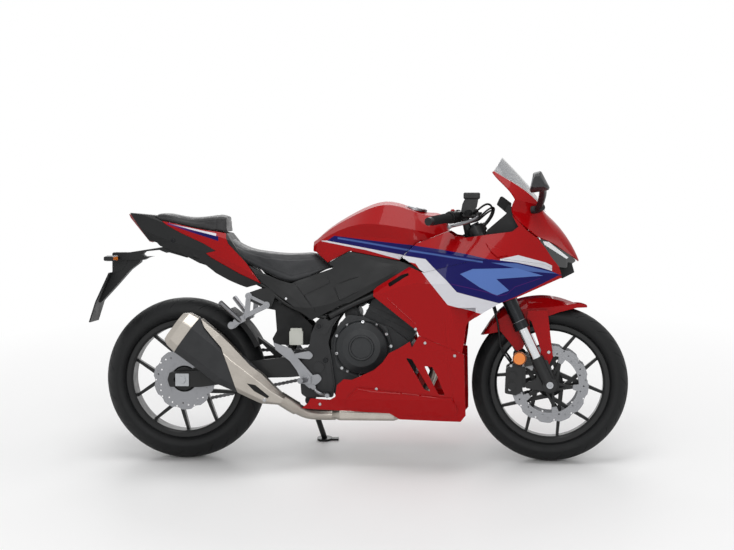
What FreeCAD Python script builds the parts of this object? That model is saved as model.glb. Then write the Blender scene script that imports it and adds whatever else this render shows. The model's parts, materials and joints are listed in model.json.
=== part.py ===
import FreeCAD, Part
import math
import os
from functools import cache

from FreeCAD import Placement, Rotation, Vector

# A mid-size sport motorcycle, parked leaning to its left on its side stand, built as separate pieces.
# Millimetres. Every piece is drawn on an upright bike: X forward from the rear axle, Y to the left,
# Z up from the ground, and "w" is the distance out to the right, so a point (x, w, z) has Y = -w.
# The last step leans the whole bike and puts the origin on the ground under the middle of its outline.

# Driving dimensions
WHEELBASE = 1410.0
RAKE = 25.5                    # steering axis from the vertical, degrees
TRAIL = 102.0                  # steering axis to the front contact point, along the ground
LEAN = 10.0                    # lean to the left on the side stand, degrees
GAP = 0.3                      # gap between pieces that sit on each other
SEAM = 0.9                     # visible gap between neighbouring body panels

FRONT_TYRE_R, FRONT_TYRE_HALF = 300.0, 60.0
REAR_TYRE_R, REAR_TYRE_HALF = 312.0, 80.0
FRONT_RIM_HALF, REAR_RIM_HALF = 44.5, 57.0
RIM_FLANGE_R = 229.0
RIM_SEAT_R = 218.0
RIM_INSIDE_R = 203.0
RIM_DROP = 6.0                 # wall of the rim at its drop centre

AXLE_R = 10.0
FORK_SPREAD = 100.0            # fork leg from the middle plane
FORK_OFFSET = 35.0             # fork leg ahead of the steering axis
FORK_UPPER_R, FORK_LOWER_R = 27.0, 20.5
STEM_R = 15.0
HEAD_TUBE_R = 27.0

FRONT_DISC_R, FRONT_DISC_INSIDE_R = 148.0, 110.0
REAR_DISC_R, REAR_DISC_INSIDE_R = 120.0, 86.0
DISC_THICK = 4.5
FRONT_DISC_W = 66.0            # inner face of a front disc from the middle plane
REAR_DISC_W = 64.0

ARM_IN, ARM_OUT = 90.0, 116.0  # swingarm side arm, inner and outer face
ARM_IN_LEFT = 99.5             # the left arm is slimmer, outside the chain
PLATE_IN, PLATE_OUT = 118.0, 134.0
STEP_PAD_W = 117.0             # inner face of the pillion steps' bolt pads
ENGINE_HALF = 114.0            # crankcase, half its width
HEAD_HALF = 108.0              # cylinder head, half its width
PANEL = 3.5                    # wall of a moulded body panel

CHAIN_W = 91.5                 # chain's middle from the middle plane, on the left
CHAIN_PITCH = 15.875
SPROCKET_TEETH, OUTPUT_TEETH = 41, 15
SPROCKET_THICK, TOOTH_DEPTH = 6.0, 6.5
CHAIN_OUTER_HALF, CHAIN_INNER_HALF = 7.5, 6.5
CHAIN_HALF_WIDTH, CHAIN_WAIST = 6.5, 2.2
CHAIN_CLEAR = 2.0              # tooth tips inside the chain's inner edge

REAR_AXLE = (0.0, REAR_TYRE_R)
FRONT_AXLE = (WHEELBASE, FRONT_TYRE_R)
SWING_PIVOT = (530.0, 365.0)
OUTPUT_SPROCKET = (600.0, 372.0)

# Steering axis: it meets the ground TRAIL ahead of the front axle and leans back by RAKE.
STEER_FOOT_X = WHEELBASE + TRAIL
SIN_RAKE, COS_RAKE = math.sin(math.radians(RAKE)), math.cos(math.radians(RAKE))

# Side stand: pivot and foot on the left (negative w), and the hinge angle that folds the leg back.
STAND_PIVOT = (470.0, -140.0, 222.0)
STAND_FOOT = (515.0, -250.0, 43.5)
STAND_FOLDED_TIP = (263.0, -152.0, 170.0)

# Middle of the leaned bike's outline, measured from the rear contact point.
ORIGIN_X = 669.5
ORIGIN_Y = 180.5


# Drawing helpers

def at(x, w, z):
    """A point of the upright bike, w out to the right."""
    return Vector(x, -w, z)


def corner(before, here, after, radius):
    """The tangent points and the middle of the arc that rounds one corner, or None for a sharp one."""
    u1, u2 = before - here, after - here
    run = 0.48 * min(u1.Length, u2.Length)
    u1.normalize()
    u2.normalize()
    half = u1.getAngle(u2) / 2
    if radius <= 0 or half > math.radians(88.5) or half < math.radians(2):
        return None
    reach = min(radius / math.tan(half), run)
    radius = reach * math.tan(half)
    bisector = (u1 + u2).normalize()
    middle = here + bisector * (radius / math.sin(half) - radius)
    return here + u1 * reach, middle, here + u2 * reach


def closed_wire(points, radius=0.0):
    """A closed wire through vectors; corners are rounded by radius, or by their own as (vector, r)."""
    spots = [p if isinstance(p, tuple) else (p, radius) for p in points]
    rounded = []
    for i, (here, r) in enumerate(spots):
        before, after = spots[i - 1][0], spots[(i + 1) % len(spots)][0]
        rounded.append(corner(before, here, after, r) or (here, None, here))
    edges = []
    for i, (start, middle, end) in enumerate(rounded):
        if middle is not None:
            edges.append(Part.Arc(start, middle, end).toShape())
        following = rounded[(i + 1) % len(rounded)][0]
        if end.distanceToPoint(following) > 1e-6:
            edges.append(Part.LineSegment(end, following).toShape())
    return Part.Wire(edges)


def side_wire(points, w, radius=0.0):
    """A closed side-view outline, (x, z) or (x, z, corner radius), on the plane w out to the right."""
    return closed_wire([(at(p[0], w, p[1]), p[2] if len(p) > 2 else radius) for p in points])


def slab(points, w_in, w_out, radius=0.0):
    """A side-view outline made solid between two distances from the middle plane."""
    return Part.Face(side_wire(points, w_in, radius)).extrude(Vector(0, w_in - w_out, 0))


def box(x0, x1, w0, w1, z0, z1):
    return Part.makeBox(x1 - x0, w1 - w0, z1 - z0, Vector(x0, -w1, z0))


def rod(a, b, radius):
    """A round bar from a to b."""
    return Part.makeCylinder(radius, (b - a).Length, a, b - a)


def barrel(x, z, w0, w1, radius):
    """A round bar across the bike."""
    return rod(at(x, w0, z), at(x, w1, z), radius)


def six_sided(x, z, radius, reach):
    """A six-sided bar out from the middle plane, such as a nut or a key socket."""
    corners = [math.radians(60 * i) for i in range(6)]
    wire = closed_wire([at(x + radius * math.cos(a), 0, z + radius * math.sin(a)) for a in corners])
    return Part.Face(wire).extrude(Vector(0, -reach, 0))


def tube_path(points):
    """Straight runs joined by tangent arcs, each as large as its two runs allow."""
    edges = []
    last = points[0]
    for i in range(1, len(points) - 1):
        found = corner(points[i - 1], points[i], points[i + 1], 1e6)
        if found is None:
            continue
        start, middle, end = found
        edges.append(Part.LineSegment(last, start).toShape())
        edges.append(Part.Arc(start, middle, end).toShape())
        last = end
    edges.append(Part.LineSegment(last, points[-1]).toShape())
    return Part.Wire(edges)


def tube(points, radius):
    """A round bar bent through (x, w, z) points."""
    spots = [at(*p) for p in points]
    path = tube_path(spots)
    circle = Part.Wire(Part.Circle(spots[0], spots[1] - spots[0], radius).toShape())
    return path.makePipeShell([circle], True, False)


def spun(points, axle, radius=0.0):
    """A profile of (radius, w) points turned round a crosswise axis through axle = (x, z)."""
    x, z = axle
    wire = closed_wire([(at(x + p[0], p[1], z), p[2] if len(p) > 2 else radius) for p in points])
    return Part.Face(wire).revolve(Vector(x, 0, z), Vector(0, 1, 0), 360)


def about(shape, axle, degrees):
    """A copy turned round a crosswise axis; positive turns it anticlockwise as seen from the right."""
    turned = shape.copy()
    turned.rotate(Vector(axle[0], 0, axle[1]), Vector(0, -1, 0), degrees)
    return turned


def around(shape, axle, count, start=0.0):
    """count copies evenly round a crosswise axis, as a list."""
    return [about(shape, axle, start + i * 360.0 / count) for i in range(count)]


def fused(*shapes):
    """One solid out of pieces that meet or overlap."""
    flat = [s for group in shapes for s in (group if isinstance(group, (list, tuple)) else [group])]
    whole = flat[0].multiFuse(flat[1:]) if len(flat) > 1 else flat[0]
    return whole.removeSplitter()


def mirrored(shape):
    """The left-hand twin of a right-hand piece."""
    return shape.mirror(Vector(0, 0, 0), Vector(0, 1, 0))


def both(shape):
    """A right-hand piece and its left-hand twin, as separate solids of one node."""
    return Part.makeCompound([shape, mirrored(shape)])


def moved(shape, x=0.0, w=0.0, z=0.0):
    copy = shape.copy()
    copy.translate(Vector(x, -w, z))
    return copy


def seated(piece, carrier, x=0.0, w=0.0, z=0.0):
    """A piece trimmed to sit on its carrier, with a small gap along the given offset from the carrier."""
    return largest(piece.cut(carrier).cut(moved(carrier, x, w, z)))


def loft(wires, ruled=False):
    return Part.makeLoft(wires, True, ruled)


def half_envelope(sections):
    """Outer form of the right half: sections (x, [(w, z) downwards]) closed on the middle plane."""
    wires = []
    for x, spots in sections:
        ring = [at(x, 0, spots[0][1])] + [at(x, w, z) for w, z in spots] + [at(x, 0, spots[-1][1])]
        wires.append(closed_wire(ring))
    return loft(wires)


def whole_envelope(sections, radius=0.0):
    """Outer form of a piece across the middle plane, from half sections listed top to bottom."""
    wires = []
    for x, spots in sections:
        right = [(at(x, w, z), radius) for w, z in spots]
        left = [(at(x, -w, z), radius) for w, z in reversed(spots) if w > 0]
        wires.append(closed_wire(right + left))
    return loft(wires)


def skin(envelope, outline, thick=PANEL, radius=0.0):
    """The wall of an envelope, thick measured crosswise, where the side-view outline covers it."""
    cutter = slab(outline, 15, 420, radius)
    return envelope.common(cutter).cut(moved(envelope, w=-thick))


def strip(points, thick):
    """Side-view outline of a bent sheet of even thickness, to the left of the line's direction."""
    offset = []
    for i in range(len(points)):
        normals = []
        for a, b in zip(points[max(i - 1, 0):i + 1], points[max(i - 1, 0) + 1:i + 2]):
            run = math.hypot(b[0] - a[0], b[1] - a[1])
            normals.append((-(b[1] - a[1]) / run, (b[0] - a[0]) / run))
        nx, nz = sum(n[0] for n in normals), sum(n[1] for n in normals)
        share = thick / (nx * normals[0][0] + nz * normals[0][1])
        offset.append((points[i][0] + nx * share, points[i][1] + nz * share))
    return points + offset[::-1]


def spline(points):
    curve = Part.BSplineCurve()
    curve.interpolate([at(*p) for p in points])
    return curve.toShape()


def steer(s, ahead=0.0, w=0.0):
    """A point s along the steering axis from the ground, ahead of it and w out to the right."""
    return Vector(
        STEER_FOOT_X - s * SIN_RAKE + ahead * COS_RAKE, -w, s * COS_RAKE + ahead * SIN_RAKE
    )


# Wheels

SPOKE_PAIRS = 5


def rim(axle, half):
    """Cast rim: flanges, bead seats and a drop centre."""
    wall = RIM_INSIDE_R + RIM_DROP
    return spun(
        [
            (RIM_INSIDE_R, -half + 6, 3), (RIM_INSIDE_R + 9, -half), (RIM_FLANGE_R, -half, 2),
            (RIM_FLANGE_R, -half + 4, 2), (RIM_SEAT_R, -half + 7), (RIM_SEAT_R - 3, -half + 22),
            (wall, -half + 30), (wall, half - 30), (RIM_SEAT_R - 3, half - 22),
            (RIM_SEAT_R, half - 7), (RIM_FLANGE_R, half - 4, 2), (RIM_FLANGE_R, half, 2),
            (RIM_INSIDE_R + 9, half), (RIM_INSIDE_R, half - 6, 3),
        ],
        axle,
    )


def spokes(axle, hub_offset, rim_offset, half_in, half_out, phase):
    """Five pairs of slim cast spokes that leave the hub side by side."""
    x, z = axle
    pair = []
    for side in (1, -1):
        inner = closed_wire([
            at(x + 8, -half_in, z + side * hub_offset - 9), at(x + 8, half_in, z + side * hub_offset - 9),
            at(x + 8, half_in, z + side * hub_offset + 9), at(x + 8, -half_in, z + side * hub_offset + 9),
        ])
        outer_x = x + math.sqrt((RIM_INSIDE_R + 3) ** 2 - rim_offset ** 2)
        outer = closed_wire([at(outer_x, -half_out, z + side * rim_offset - 5.5),
                             at(outer_x, half_out, z + side * rim_offset - 5.5),
                             at(outer_x, half_out, z + side * rim_offset + 5.5),
                             at(outer_x, -half_out, z + side * rim_offset + 5.5)])
        pair.append(loft([inner, outer], True))
    return [about(p, axle, phase + 360.0 / SPOKE_PAIRS * i) for i in range(SPOKE_PAIRS) for p in pair]


def tyre(axle, outer_r, half, rim_half):
    """A closed tyre ring seated on its rim; the crown is one arc across the tread."""
    crown = outer_r - 0.62 * half
    x, z = axle
    seat = RIM_SEAT_R + GAP
    foot = rim_half - 8
    lip = RIM_FLANGE_R + 2.0
    bulge_r = RIM_FLANGE_R + 0.42 * (crown - RIM_FLANGE_R)
    def spot(r, w):
        return at(x + r, w, z)
    edges = [
        Part.LineSegment(spot(seat, -foot), spot(seat, foot)).toShape(),
        Part.LineSegment(spot(seat, foot), spot(lip, rim_half - 4)).toShape(),
        Part.Arc(spot(lip, rim_half - 4), spot(bulge_r, half - 4), spot(crown, half)).toShape(),
        Part.Arc(spot(crown, half), spot(outer_r, 0), spot(crown, -half)).toShape(),
        Part.Arc(spot(crown, -half), spot(bulge_r, -half + 4), spot(lip, -rim_half + 4)).toShape(),
        Part.LineSegment(spot(lip, -rim_half + 4), spot(seat, -foot)).toShape(),
    ]
    return Part.Face(Part.Wire(edges)).revolve(Vector(x, 0, z), Vector(0, 1, 0), 360)


def wave_disc(axle, outer_r, inner_r, w, lobes, phase):
    """A petal brake disc: scalloped rim and three rows of drilled holes."""
    x, z = axle
    ring = barrel(x, z, w, w + DISC_THICK, outer_r).cut(barrel(x, z, w - 1, w + DISC_THICK + 1, inner_r))
    scallop = barrel(x + outer_r + 34, z, w - 1, w + DISC_THICK + 1, 40)
    holes = []
    for row, (share, lag) in enumerate(((0.25, 0.0), (0.5, 0.33), (0.72, 0.66))):
        radius = inner_r + share * (outer_r - inner_r)
        hole = barrel(x + radius, z, w - 1, w + DISC_THICK + 1, 3.2)
        holes += around(hole, axle, lobes, phase + (lag + 0.3) * 360.0 / lobes)
    cutters = around(scallop, axle, lobes, phase) + holes
    return ring.cut(Part.makeCompound(cutters))


def front_wheel():
    x, z = FRONT_AXLE
    hub = spun(
        [(AXLE_R + GAP, -62), (30, -62), (34, -58, 4), (34, -40), (52, -24, 6), (52, 24, 6),
         (34, 40), (34, 58, 4), (30, 62), (AXLE_R + GAP, 62)],
        FRONT_AXLE,
    )
    carrier = []
    for side in (1, -1):
        inner, outer = FRONT_DISC_W - 9, FRONT_DISC_W - GAP
        leg = slab([(x + 28, z + 10, 2), (x + 96, z + 4, 3), (x + 104, z - 6, 3), (x + 90, z - 6, 2),
                    (x + 28, z + 1, 2)], side * inner, side * outer)
        twin = slab([(x + 28, z - 22, 2), (x + 90, z - 6, 2), (x + 104, z + 6, 3), (x + 96, z + 6, 3),
                     (x + 28, z - 13, 2)], side * inner, side * outer)
        boss = barrel(x + 97, z, side * inner, side * outer, 11)
        carrier += [about(piece, FRONT_AXLE, -7 + 72 * i) for i in range(5) for piece in (leg, twin, boss)]
        carrier.append(barrel(x, z, side * 56, side * outer, 36).cut(barrel(x, z, -80, 80, AXLE_R + GAP)))
    cast = spokes(FRONT_AXLE, 46, 60, 17, 12, -27)
    return fused(rim(FRONT_AXLE, FRONT_RIM_HALF), hub, cast, carrier)


def front_discs():
    x, z = FRONT_AXLE
    ring = wave_disc(FRONT_AXLE, FRONT_DISC_R, FRONT_DISC_INSIDE_R, FRONT_DISC_W, 12, 8)
    tab = slab([(x + 88, z - 9, 4), (x + 116, z - 15), (x + 116, z + 15), (x + 88, z + 9, 4)],
               FRONT_DISC_W, FRONT_DISC_W + DISC_THICK)
    button = barrel(x + 97, z, FRONT_DISC_W, FRONT_DISC_W + 7, 7.5)
    tabs = [about(piece, FRONT_AXLE, -7 + 72 * i) for i in range(5) for piece in (tab, button)]
    return both(fused(ring, tabs))


CARRIER_R = 40.0               # sprocket's bore on the hub


def rear_wheel():
    seat = -CHAIN_W + SPROCKET_THICK / 2 + GAP
    hub = spun([(AXLE_R + GAP, -ARM_IN_LEFT + 3), (28, -ARM_IN_LEFT + 3), (CARRIER_R - GAP, -CHAIN_W),
                (CARRIER_R - GAP, seat), (60, seat), (64, seat + 4, 3), (64, -60, 3), (56, -40, 4),
                (56, 36), (84, 50, 4), (84, REAR_DISC_W - GAP), (50, REAR_DISC_W - GAP), (44, 76, 3),
                (AXLE_R + GAP, 76)], REAR_AXLE)
    cast = spokes(REAR_AXLE, 50, 58, 20, 14, 0.5)
    return fused(rim(REAR_AXLE, REAR_RIM_HALF), hub, cast)


def rear_disc():
    x, z = REAR_AXLE
    ring = wave_disc(REAR_AXLE, REAR_DISC_R, REAR_DISC_INSIDE_R, REAR_DISC_W, 10, 4)
    web = barrel(x, z, REAR_DISC_W, REAR_DISC_W + DISC_THICK, REAR_DISC_INSIDE_R + 0.5)
    web = web.cut(barrel(x, z, REAR_DISC_W - 1, REAR_DISC_W + 9, 51))
    bolt = barrel(x + 70, z, REAR_DISC_W + DISC_THICK - 1, REAR_DISC_W + DISC_THICK + 4, 6)
    return fused(ring, web, around(bolt, REAR_AXLE, 4, 38))


SPROCKET_PITCH_R = CHAIN_PITCH / (2 * math.sin(math.pi / SPROCKET_TEETH))
OUTPUT_PITCH_R = CHAIN_PITCH / (2 * math.sin(math.pi / OUTPUT_TEETH))


def toothed_ring(axle, pitch_r, teeth, clear):
    """A flat sprocket whose tooth tips stay clear of the chain's inner edge."""
    x, z = axle
    tip = pitch_r - CHAIN_INNER_HALF - clear
    root = tip - TOOTH_DEPTH
    points = []
    for i in range(teeth):
        for share, radius in ((-0.32, root), (-0.12, tip), (0.12, tip), (0.32, root)):
            a = 2 * math.pi * (i + share) / teeth
            points.append(at(x + radius * math.cos(a), -CHAIN_W + SPROCKET_THICK / 2,
                             z + radius * math.sin(a)))
    return Part.Face(closed_wire(points)).extrude(Vector(0, SPROCKET_THICK, 0))


def rear_sprocket():
    """Sprocket bolted to the left of the hub, with six lightening windows."""
    x, z = REAR_AXLE
    w0, w1 = -CHAIN_W - 20, -CHAIN_W + 20
    ring = toothed_ring(REAR_AXLE, SPROCKET_PITCH_R, SPROCKET_TEETH,
                        CHAIN_CLEAR).cut(barrel(x, z, w0, w1, CARRIER_R))
    window = slab([(x + 58, z - 12, 5), (x + 80, z - 19, 5), (x + 80, z + 19, 5), (x + 58, z + 12, 5)], w0,
                  w1)
    return ring.cut(Part.makeCompound(around(window, REAR_AXLE, 6)))


def chain_line(out):
    """Points of the closed loop, out from the pins' line, waisted between the pins."""
    reach, rise = OUTPUT_SPROCKET[0] - REAR_AXLE[0], OUTPUT_SPROCKET[1] - REAR_AXLE[1]
    distance, slope = math.hypot(reach, rise), math.atan2(rise, reach)
    flare = math.asin((SPROCKET_PITCH_R - OUTPUT_PITCH_R) / distance)
    top, low = slope + math.pi / 2 - flare, slope - math.pi / 2 + flare
    straight = distance * math.cos(flare)
    front_arc = OUTPUT_PITCH_R * (math.pi - 2 * flare)
    rear_arc = SPROCKET_PITCH_R * (math.pi + 2 * flare)
    length = 2 * straight + front_arc + rear_arc
    links = round(length / CHAIN_PITCH)
    points = []
    for i in range(2 * links):
        s = i * length / (2 * links)
        half = out - (math.copysign(CHAIN_WAIST, out) if i % 2 else 0)
        if s < straight:
            centre, radius, angle, ahead = REAR_AXLE, SPROCKET_PITCH_R, top, s
        elif s < straight + front_arc:
            centre, radius, ahead = OUTPUT_SPROCKET, OUTPUT_PITCH_R, 0
            angle = top - (s - straight) / OUTPUT_PITCH_R
        elif s < 2 * straight + front_arc:
            centre, radius, angle, ahead = OUTPUT_SPROCKET, OUTPUT_PITCH_R, low, s - straight - front_arc
        else:
            turned = (s - 2 * straight - front_arc) / SPROCKET_PITCH_R
            centre, radius, angle, ahead = REAR_AXLE, SPROCKET_PITCH_R, low - turned, 0
        r = radius + half
        points.append((centre[0] + r * math.cos(angle) + ahead * math.sin(angle),
                       centre[1] + r * math.sin(angle) - ahead * math.cos(angle)))
    return points


def chain():
    """Closed chain loop round both sprockets."""
    outer, inner = [slab(chain_line(out), -CHAIN_W - CHAIN_HALF_WIDTH, -CHAIN_W + CHAIN_HALF_WIDTH)
                    for out in (CHAIN_OUTER_HALF, -CHAIN_INNER_HALF)]
    return outer.cut(inner)


# Front end: fork, yokes, handlebars, brakes and mudguard

AXLE_S = TRAIL * SIN_RAKE + FRONT_TYRE_R * COS_RAKE
AXLE_AHEAD = -TRAIL * COS_RAKE + FRONT_TYRE_R * SIN_RAKE
FORK_TOP_S = 985.0
FORK_JOIN_S = 555.0            # lower end of the fat upper tubes
FORK_FOOT_S = 430.0            # upper end of the cast feet
LOWER_YOKE_S, UPPER_YOKE_S = 742.0, 935.0
YOKE_THICK = 26.0
FOOT_SOCKET_R = 26.0


def fork_at(s):
    """A point on the right fork leg's centre line."""
    return steer(s, FORK_OFFSET, FORK_SPREAD)


def fork_uppers():
    leg = rod(fork_at(FORK_JOIN_S), fork_at(FORK_TOP_S), FORK_UPPER_R)
    collar = rod(fork_at(FORK_JOIN_S - 2), fork_at(FORK_JOIN_S + 26), FORK_UPPER_R + 3)
    cap = rod(fork_at(FORK_TOP_S - 1), fork_at(FORK_TOP_S + 9), 17)
    bore = rod(fork_at(FORK_JOIN_S - 10), fork_at(FORK_JOIN_S + 40), FORK_LOWER_R + GAP)
    return both(fused(leg, collar, cap).cut(bore))


def fork_sliders():
    """The bright lower tubes, run up into the upper tubes and down into the feet."""
    return both(rod(fork_at(FORK_FOOT_S - 30), fork_at(FORK_JOIN_S + 38), FORK_LOWER_R))


def fork_feet():
    """Cast feet: tube socket, axle clamp and the two lugs that carry the caliper."""
    socket = rod(fork_at(AXLE_S + 8), fork_at(FORK_FOOT_S), FOOT_SOCKET_R)
    x, z = FRONT_AXLE
    clamp = barrel(x, z, FORK_SPREAD - 22, FORK_SPREAD + 20, 27)
    web = slab([(x - 48, z + 92, 8), (x - 10, z + 96, 8), (x + 20, z + 14), (x - 4, z - 26, 6),
                (x - 92, z - 12, 8), (x - 96, z + 6, 6), (x - 52, z + 22, 10)], FORK_SPREAD - 12,
               FORK_SPREAD + 10)
    lug = slab([(x - 96, z + 88, 6), (x - 42, z + 104, 6), (x - 42, z + 80, 4), (x - 100, z + 68, 6)],
               FORK_SPREAD - 12, FORK_SPREAD + 10)
    bore = rod(fork_at(FORK_FOOT_S - 30 - GAP), fork_at(FORK_FOOT_S + 5), FORK_LOWER_R + GAP)
    axle_hole = barrel(x, z, FORK_SPREAD - 40, FORK_SPREAD + 40, AXLE_R + 3 + GAP)
    disc_room = barrel(x, z, FORK_SPREAD - 40, FORK_SPREAD - 22, FRONT_DISC_R + 8)
    return both(fused(socket, clamp, web, lug).cut(bore).cut(axle_hole).cut(disc_room))


def front_axle():
    """Spindle through both feet, with a six-sided socket in its end."""
    x, z = FRONT_AXLE
    bar = barrel(x, z, -FORK_SPREAD + 30, FORK_SPREAD - 30, AXLE_R)
    ends = [barrel(x, z, side * (FORK_SPREAD - 32), side * (FORK_SPREAD + 22), AXLE_R + 3)
            for side in (1, -1)]
    socket = six_sided(x, z, 8, 12)
    cuts = [moved(socket, w=FORK_SPREAD + 12), moved(socket, w=-FORK_SPREAD - 24)]
    return fused(bar, ends).cut(Part.makeCompound(cuts))


def yoke(s, thick, reach, tail):
    """A plate across both fork legs and the steering stem, drawn square to the steering axis."""
    ahead = [(FORK_SPREAD + 33, 12), (FORK_SPREAD + 33, 62), (FORK_SPREAD - 26, 66), (50, reach),
             (-50, reach), (-FORK_SPREAD + 26, 66), (-FORK_SPREAD - 33, 62), (-FORK_SPREAD - 33, 12),
             (-30, -tail), (30, -tail)]
    plate = Part.Face(closed_wire([steer(s, a, w) for w, a in ahead], 12))
    plate = plate.extrude(Vector(-SIN_RAKE * thick, 0, COS_RAKE * thick))
    bores = [rod(steer(s - 5, FORK_OFFSET, side * FORK_SPREAD),
                 steer(s + thick + 5, FORK_OFFSET, side * FORK_SPREAD), FORK_UPPER_R + GAP)
             for side in (1, -1)]
    return plate.cut(Part.makeCompound(bores))


def yokes():
    """Lower and upper yoke joined by the steering stem."""
    stem = rod(steer(LOWER_YOKE_S + 2), steer(UPPER_YOKE_S + YOKE_THICK + 6), STEM_R)
    nut = rod(steer(UPPER_YOKE_S + 12), steer(UPPER_YOKE_S + YOKE_THICK + 12), 20)
    return fused(yoke(LOWER_YOKE_S, YOKE_THICK + 8, 40, 32), yoke(UPPER_YOKE_S, 16, 36, 30), stem, nut)


BAR_ROOT = (1093.0, 100.0, 948.0)
BAR_TIP = (962.0, 352.0, 925.0)
BAR_R, GRIP_R = 11.0, 16.5


def bar_point(share, up=0.0, ahead=0.0):
    """A point along the right handlebar from its clamp, share 0, to its tip, share 1."""
    return tuple(a + (b - a) * share + d for a, b, d in zip(BAR_ROOT, BAR_TIP, (ahead, 0.0, up)))


def handlebars():
    """Clip-on bars: clamp ring on the fork leg above the upper yoke, bar and end weight."""
    ring = rod(fork_at(UPPER_YOKE_S + 16 + GAP), fork_at(FORK_TOP_S - 4), 37)
    ring = ring.cut(rod(fork_at(UPPER_YOKE_S), fork_at(FORK_TOP_S + 20), FORK_UPPER_R + GAP))
    neck = rod(steer(FORK_TOP_S - 20, 4, FORK_SPREAD + 4), at(*bar_point(0.06)), 15)
    neck = neck.cut(rod(fork_at(UPPER_YOKE_S - 20), fork_at(FORK_TOP_S + 40), FORK_UPPER_R + GAP))
    bar = rod(at(*bar_point(0.02)), at(*bar_point(0.98)), BAR_R)
    weight = rod(at(*bar_point(0.955)), at(*bar_point(1.03)), GRIP_R - 1)
    right_gear, left_gear = switchgear()
    right = fused(ring, neck, bar, weight)
    return Part.makeCompound([fused(right, right_gear), fused(mirrored(right), left_gear)])


def grips():
    grip = rod(at(*bar_point(0.48)), at(*bar_point(0.95)), GRIP_R)
    flange = rod(at(*bar_point(0.455)), at(*bar_point(0.485)), GRIP_R + 6)
    bore = rod(at(*bar_point(0.3)), at(*bar_point(1.1)), BAR_R + GAP)
    return both(fused(grip, flange).cut(bore))


def switchgear():
    """Switch housings and perches; the right one has the master cylinder and its reservoir."""
    housing = rod(at(*bar_point(0.32)), at(*bar_point(0.45)), 24)
    perch = rod(at(*bar_point(0.18)), at(*bar_point(0.28)), 19)
    pivot = at(*LEVER_PIVOT)
    arm = rod(at(*bar_point(0.23, 4, 8)), pivot - Vector(16, 0, 0), 10)
    ears = Part.makeCylinder(11, 2 * LEVER_BOSS + 10, pivot - Vector(0, 0, LEVER_BOSS + 5))
    web = rod(pivot - Vector(22, 0, 0), pivot - Vector(4, 0, 0), 9)
    arm = fused(arm, ears, web).cut(lever_room())
    cylinder = rod(at(*bar_point(0.10, 14, 48)), at(*bar_point(0.36, 14, 50)), 12)
    x, w, z = bar_point(0.22, 72, 44)
    cup = Part.makeBox(62, 56, 25, Vector(x - 26, -w - 28, z - 8))
    cup = cup.makeFillet(6, cup.Edges)
    body = slab([(x - 36, z - 58, 8), (x - 30, z - 26, 8), (x - 20, z - 6), (x + 30, z - 6),
                 (x + 24, z - 38, 10), (x + 8, z - 60, 8)], w - 21, w + 21)
    knuckle = rod(at(*bar_point(0.2, 8, 52)), at(*bar_point(0.3, 8, 56)), 11)
    right, left = fused(housing, perch, arm, cylinder, body, cup), fused(housing, perch, arm, knuckle)
    return right.cut(lever_room()), mirrored(left.cut(lever_room()))


LEVER_R, LEVER_BOSS = 6.5, 6.0
LEVER_PIVOT = bar_point(0.24, 2, 72)
LEVER_LINE = [LEVER_PIVOT, bar_point(0.38, -4, 90), bar_point(0.60, -14, 84), bar_point(0.85, -20, 66),
              bar_point(0.95, -20, 68)]


def lever_blade(extra=0.0):
    """Blade and pivot boss of a lever, grown by extra."""
    boss = Part.makeCylinder(10 + extra, 2 * (LEVER_BOSS + extra),
                             at(*LEVER_PIVOT) - Vector(0, 0, LEVER_BOSS + extra))
    return fused(tube(LEVER_LINE, LEVER_R + extra), boss)


def lever_room():
    return lever_blade(GAP + 0.2)


def levers():
    """Brake and clutch levers, bowed ahead of and below the grips."""
    return both(fused(lever_blade(), Part.makeSphere(9, at(*LEVER_LINE[-1]))))


MUDGUARD = [(1133, 470, 452, 40), (1180, 540, 500, 62), (1240, 602, 548, 68.5), (1330, 634, 575, 68.5),
            (1410, 636, 580, 68.5), (1480, 618, 590, 64), (1552, 592, 584, 22)]


def mudguard_form(end_reach, wall, skirt):
    """Closed form under the guard's skin; rows of MUDGUARD are x, ridge height, edge height, half width."""
    sections = []
    for x, ridge, edge, half in MUDGUARD:
        side = half - wall
        sections.append((x, [(0, ridge - wall), (half * 0.62 - wall, ridge - 9 - wall), (side, edge + 15),
                             (side, edge - skirt), (0, edge - skirt)]))
    sections[0] = (sections[0][0] - end_reach, sections[0][1])
    sections[-1] = (sections[-1][0] + end_reach, sections[-1][1])
    return whole_envelope(sections)


def front_mudguard():
    """Wide guard over the tyre with a stay down each side to the fork feet."""
    dome, inner = mudguard_form(0, 0, 40), mudguard_form(1, PANEL, 70)
    hood = slab([(1128, 470), (1141, 484), (1218, 500), (1300, 548), (1402, 560), (1448, 577), (1513, 592),
                 (1556, 592), (1556, 680), (1128, 680)], -90, 90)
    shell = dome.cut(inner).common(hood)
    leg = rod(fork_at(AXLE_S + 8), fork_at(FORK_TOP_S), FOOT_SOCKET_R + GAP)
    stay = slab([(1322, 556), (1402, 570), (1421, 407, 6), (1405, 372, 6), (1366, 390), (1376, 430),
                 (1340, 540)], 84, 88)
    step = slab([(1322, 556), (1402, 568), (1400, 584), (1326, 582)], 66, 88)
    stay = fused(stay, step).cut(leg)
    rear_stay = slab([(1204, 548), (1330, 566), (1334, 500, 20), (1306, 436, 6), (1284, 426, 6),
                      (1222, 502, 20)], 65, 68.4)
    return largest(fused(shell, [stay, mirrored(stay)], [rear_stay, mirrored(rear_stay)]))


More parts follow.
